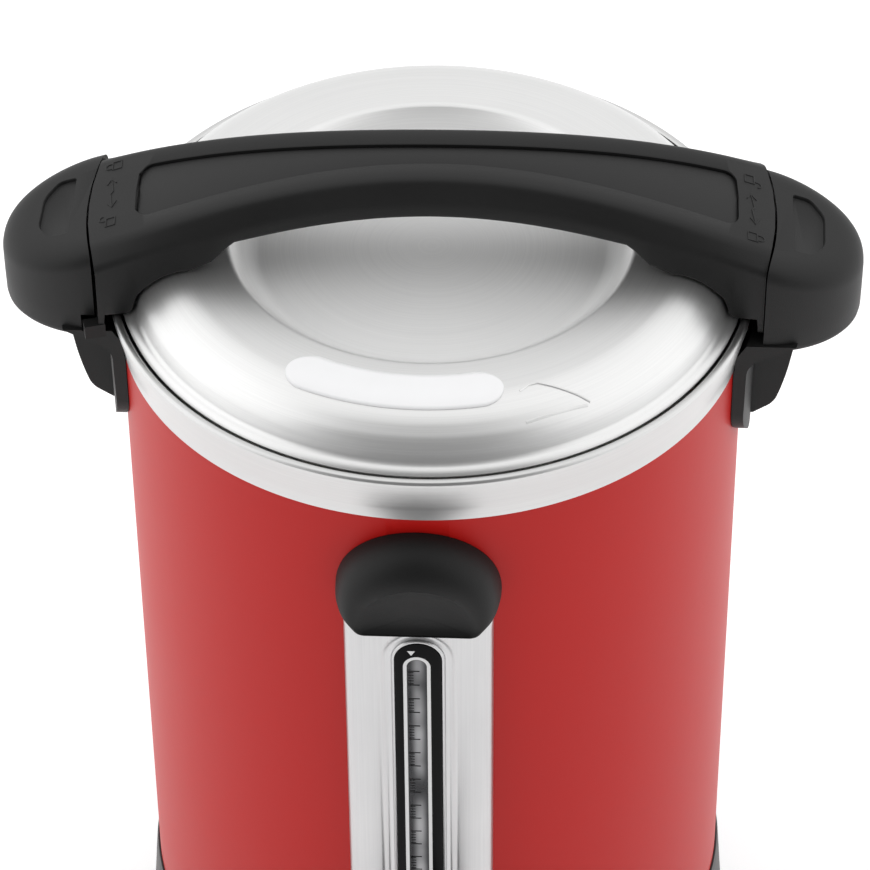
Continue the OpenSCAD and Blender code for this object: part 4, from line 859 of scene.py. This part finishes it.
# ------------------------------------------------------------ gauge lens and scale
# A clear acrylic lens printed black from behind, with a fine white frame round
# the clear slot. Pale marks are printed on the slot, and a pointer stands above.

def lens_look(place):
    across = place.part("X") + 0.0005
    up = place.part("Z")
    foot = up.node("Clamp", {}, {"Value": up, "Min": 0.1451, "Max": 0.2899})
    reach = (across ** 2 + (up - foot) ** 2) ** 0.5
    slot = 1 - reach.step(0.00365, 0.0038)
    line = reach.step(0.0038, 0.00395) * (1 - reach.step(0.0052, 0.00535))
    down = (0.2876 - up) * (1000 / 7.5)
    long_beat = abs((down + 0.5).maths("FRACT") - 0.5)
    long_mark = (1 - long_beat.step(0.03, 0.05)) * (1 - abs(across + 0.0012).step(0.0022, 0.0023))
    short_beat = abs((down * 5).maths("FRACT") - 0.5)
    short_mark = (1 - short_beat.step(0.12, 0.2)) * (1 - abs(across + 0.0023).step(0.001, 0.0011))
    short_mark = short_mark * (1 - (down * 0.5).maths("FRACT").step(0.48, 0.5))
    marks = long_mark.maths("MAXIMUM", short_mark) * down.step(-0.1, -0.05)
    # painted highlight: the slot is lighter down its middle and patchy along its length, standing for the
    # glass tube's highlight behind the lens
    painted_tube_highlight = (1 - abs(across - 0.0006).step(0.0003, 0.0034)) * place.grain(0.03, 2.0).step(0.2, 0.55)
    slot_with_painted_highlight = painted_tube_highlight.blend(paint(78, 78, 80), paint(206, 206, 208))
    printed = line.blend(paint(6, 6, 7), paint(240, 240, 240))
    return {"Base Color": (slot * (1 - marks)).blend(printed, slot_with_painted_highlight),
            "Roughness": 0.2 + 0.05 * place.grain(0.02),
            "Specular IOR Level": 0.08,
            "Alpha": 1 - slot * (1 - marks) * 0.2}


lens = bmesh.new()
drawn(lens, [stadium(8.95, 129.2), stadium(8.95, 129.9), stadium(8.8, 130.1), stadium(8.5, 130.18)])
bmesh.ops.recalc_face_normals(lens, faces=lens.faces)
fitted(settled("gauge_lens_printed", lens), surfaced("printed_acrylic", lens_look), "root", "lens_black",
       "gauge_lens")


def pointer_look(place):
    cloud = place.grain(0.004)
    return {"Base Color": cloud.blend(paint(232, 232, 232), paint(244, 244, 244)),
            "Roughness": 0.4 + 0.1 * cloud}


pointer = slab(bmesh.new(), [(-1.5, 298.4), (1.5, 298.4), (0, 296.0)], -0.06,
               Matrix.Translation((-2.6, -130.19, 0)))
fitted(settled("full_mark", pointer), surfaced("print_white", pointer_look), "root", "lens_black")


def scale_look(place):
    cloud = place.grain(0.012, 3.0)
    return {"Base Color": cloud.blend(paint(120, 120, 122), paint(150, 150, 152)),
            "Roughness": 0.45 + 0.1 * cloud}


dress(surfaced("scale_plastic", scale_look), "scale_plate")


def glass_look(place):
    cloud = place.grain(0.02, 2.0)
    return {"Base Color": cloud.blend(paint(226, 234, 235), paint(240, 244, 245)),
            "Roughness": 0.03 + 0.03 * cloud, "Alpha": 0.22, "IOR": 1.47}


dress(surfaced("gauge_glass", glass_look), "sight_tube")


# ------------------------------------------------------------ gauge hood
# A black moulded hood that covers the top of the gauge. It swells out of the
# shell to a crest, and its front is scooped below the crest.

def hood_ring(f, steps=26):
    w = 31.5 - 9.5 * f ** 1.3
    top = -6.5 - 14.5 * f ** 1.2
    low = -48.5 + 0.8 * f
    high = 31.5 - 7.5 * f
    rise = 17 * math.sqrt(1 - (1 - f) ** 2)
    arch = [(w * math.sin(math.pi / 2 * k / steps), top - high * (1 - math.cos(math.pi / 2 * k / steps)))
            for k in range(steps + 1)]
    foot = eased([arch[-1], (w * 0.985, low + 9 - 7.3 * f, 0.5),
                  (w * (0.77 + 0.16 * f), low + 0.5 - 0.2 * f, 1.6 - f), (w * (0.7 + 0.16 * f), low, 0.5),
                  (0, low)])
    half = arch + [tuple(point) for point in foot[1:-1]]
    ring = half + [(-x, z) for x, z in reversed(half[1:])]
    return [(x, -math.sqrt(122.75 ** 2 - x * x) - rise + 2.8 * f ** 3 * (top - z) / (top - low), COLLAR_Z + z)
            for x, z in ring]


hood = bmesh.new()
rings = [hood_ring(1 - math.cos(math.pi / 2 * k / 14)) for k in range(15)]
crest = rings[-1]
middle = COLLAR_Z - 38.0
for share in (0.985, 0.96, 0.92, 0.85, 0.75, 0.62, 0.48, 0.34, 0.2, 0.08):
    rings.append([(x * share, y * share + (1 - share) * -137.0 + 2.0 * (1 - share ** 4),
                   middle + (z - middle) * share) for x, y, z in crest])
drawn(hood, rings)
bmesh.ops.recalc_face_normals(hood, faces=hood.faces)
# painted shade: the hood gets a darker copy of the handle's phenolic, standing for the shade on its scooped
# front
fitted(settled("gauge_hood_moulded", hood), surfaced("hood_phenolic_painted_shade", grained_look(10, 15, 0.48)), "root",
       "handle_black", "gauge_hood")


# ------------------------------------------------------------ tap
# The self-closing tap is moulded in glossy black plastic, with its lever on a
# steel pin.

tap_plastic = surfaced("tap_plastic", moulded_look(22, 30, 0.26, 0.0009, 0.00002))
dress(tap_plastic, "tap_body", "tap_bonnet", "tap_lever")


# ------------------------------------------------------------ studio
# A plain white floor that fades into the background, a soft box above and one
# on each side, and the camera.

floor = bmesh.new()
bmesh.ops.create_grid(floor, x_segments=4, y_segments=4, size=6000.0)
floor = settled("studio_floor", floor)


# in reflections the floor darkens 0.7 to 1.5 m ahead of the part, which gives the steel contrast
def floor_look(place):
    glossy = place.node("LightPath", {}, {}, "Is Glossy Ray")
    seen = place.node("LightPath", {}, {}, "Is Camera Ray") + glossy
    ahead = (glossy * (place.part("Y") * -1).step(0.7, 1.5)).maths("MINIMUM", 1.0)
    pale = place.grain(0.4).blend(paint(236, 236, 237), paint(238, 238, 238))
    return {"Base Color": ahead.blend(pale, paint(60, 60, 62)),
            "Roughness": 0.9, "Specular IOR Level": 0.1,
            "Emission Color": (1.0, 1.0, 1.0, 1.0), "Emission Strength": seen * 0.4 * (1 - ahead * 0.9)}


floor.data.materials.append(surfaced("studio_white", floor_look))

world = bpy.data.worlds.new("studio_world")
bpy.context.scene.world = world
world.use_nodes = True
around = Wire(world.node_tree).node("TexCoord", {}, {}, "Generated")
behind = around.node("VectorMath", {"operation": "DOT_PRODUCT"},
                     {0: around, 1: (0.0, -math.cos(math.radians(25)), math.sin(math.radians(25)))}, "Value")
feed(world.node_tree.nodes["Background"],
     {"Color": (1.0, 1.0, 1.0, 1.0), "Strength": 1.02 - 0.78 * behind.step(0.62, 0.93)})


def soft_box(name, place, target, wide, high, watts):
    lamp = bpy.data.lights.new(name, "AREA")
    lamp.shape = "RECTANGLE"
    lamp.size, lamp.size_y, lamp.energy = wide, high, watts
    box = bpy.data.objects.new(name, lamp)
    box.location = place
    box.rotation_euler = (Vector(target) - Vector(place)).to_track_quat("-Z", "Y").to_euler()
    bpy.context.scene.collection.objects.link(box)


soft_box("box_above", (0.0, 0.15, 1.5), (0, 0, 0.35), 1.6, 1.2, 1.2)
soft_box("box_left", (-1.4, -0.1, 0.7), (0, 0, 0.3), 2.4, 2.6, 8.2)
soft_box("box_right", (1.4, -0.1, 0.7), (0, 0, 0.3), 2.4, 2.6, 5.5)

lens_data = bpy.data.cameras.new("camera")
lens_data.lens = 169.366
lens_data.sensor_width = 36.0
camera = bpy.data.objects.new("camera", lens_data)
camera.location = (0.064852, -1.228094, 1.401813)
camera.rotation_euler = [math.radians(angle) for angle in (47.92877, 0.39566, 2.64286)]
bpy.context.scene.collection.objects.link(camera)
bpy.context.scene.camera = camera
bpy.context.scene.view_settings.view_transform = "Standard"
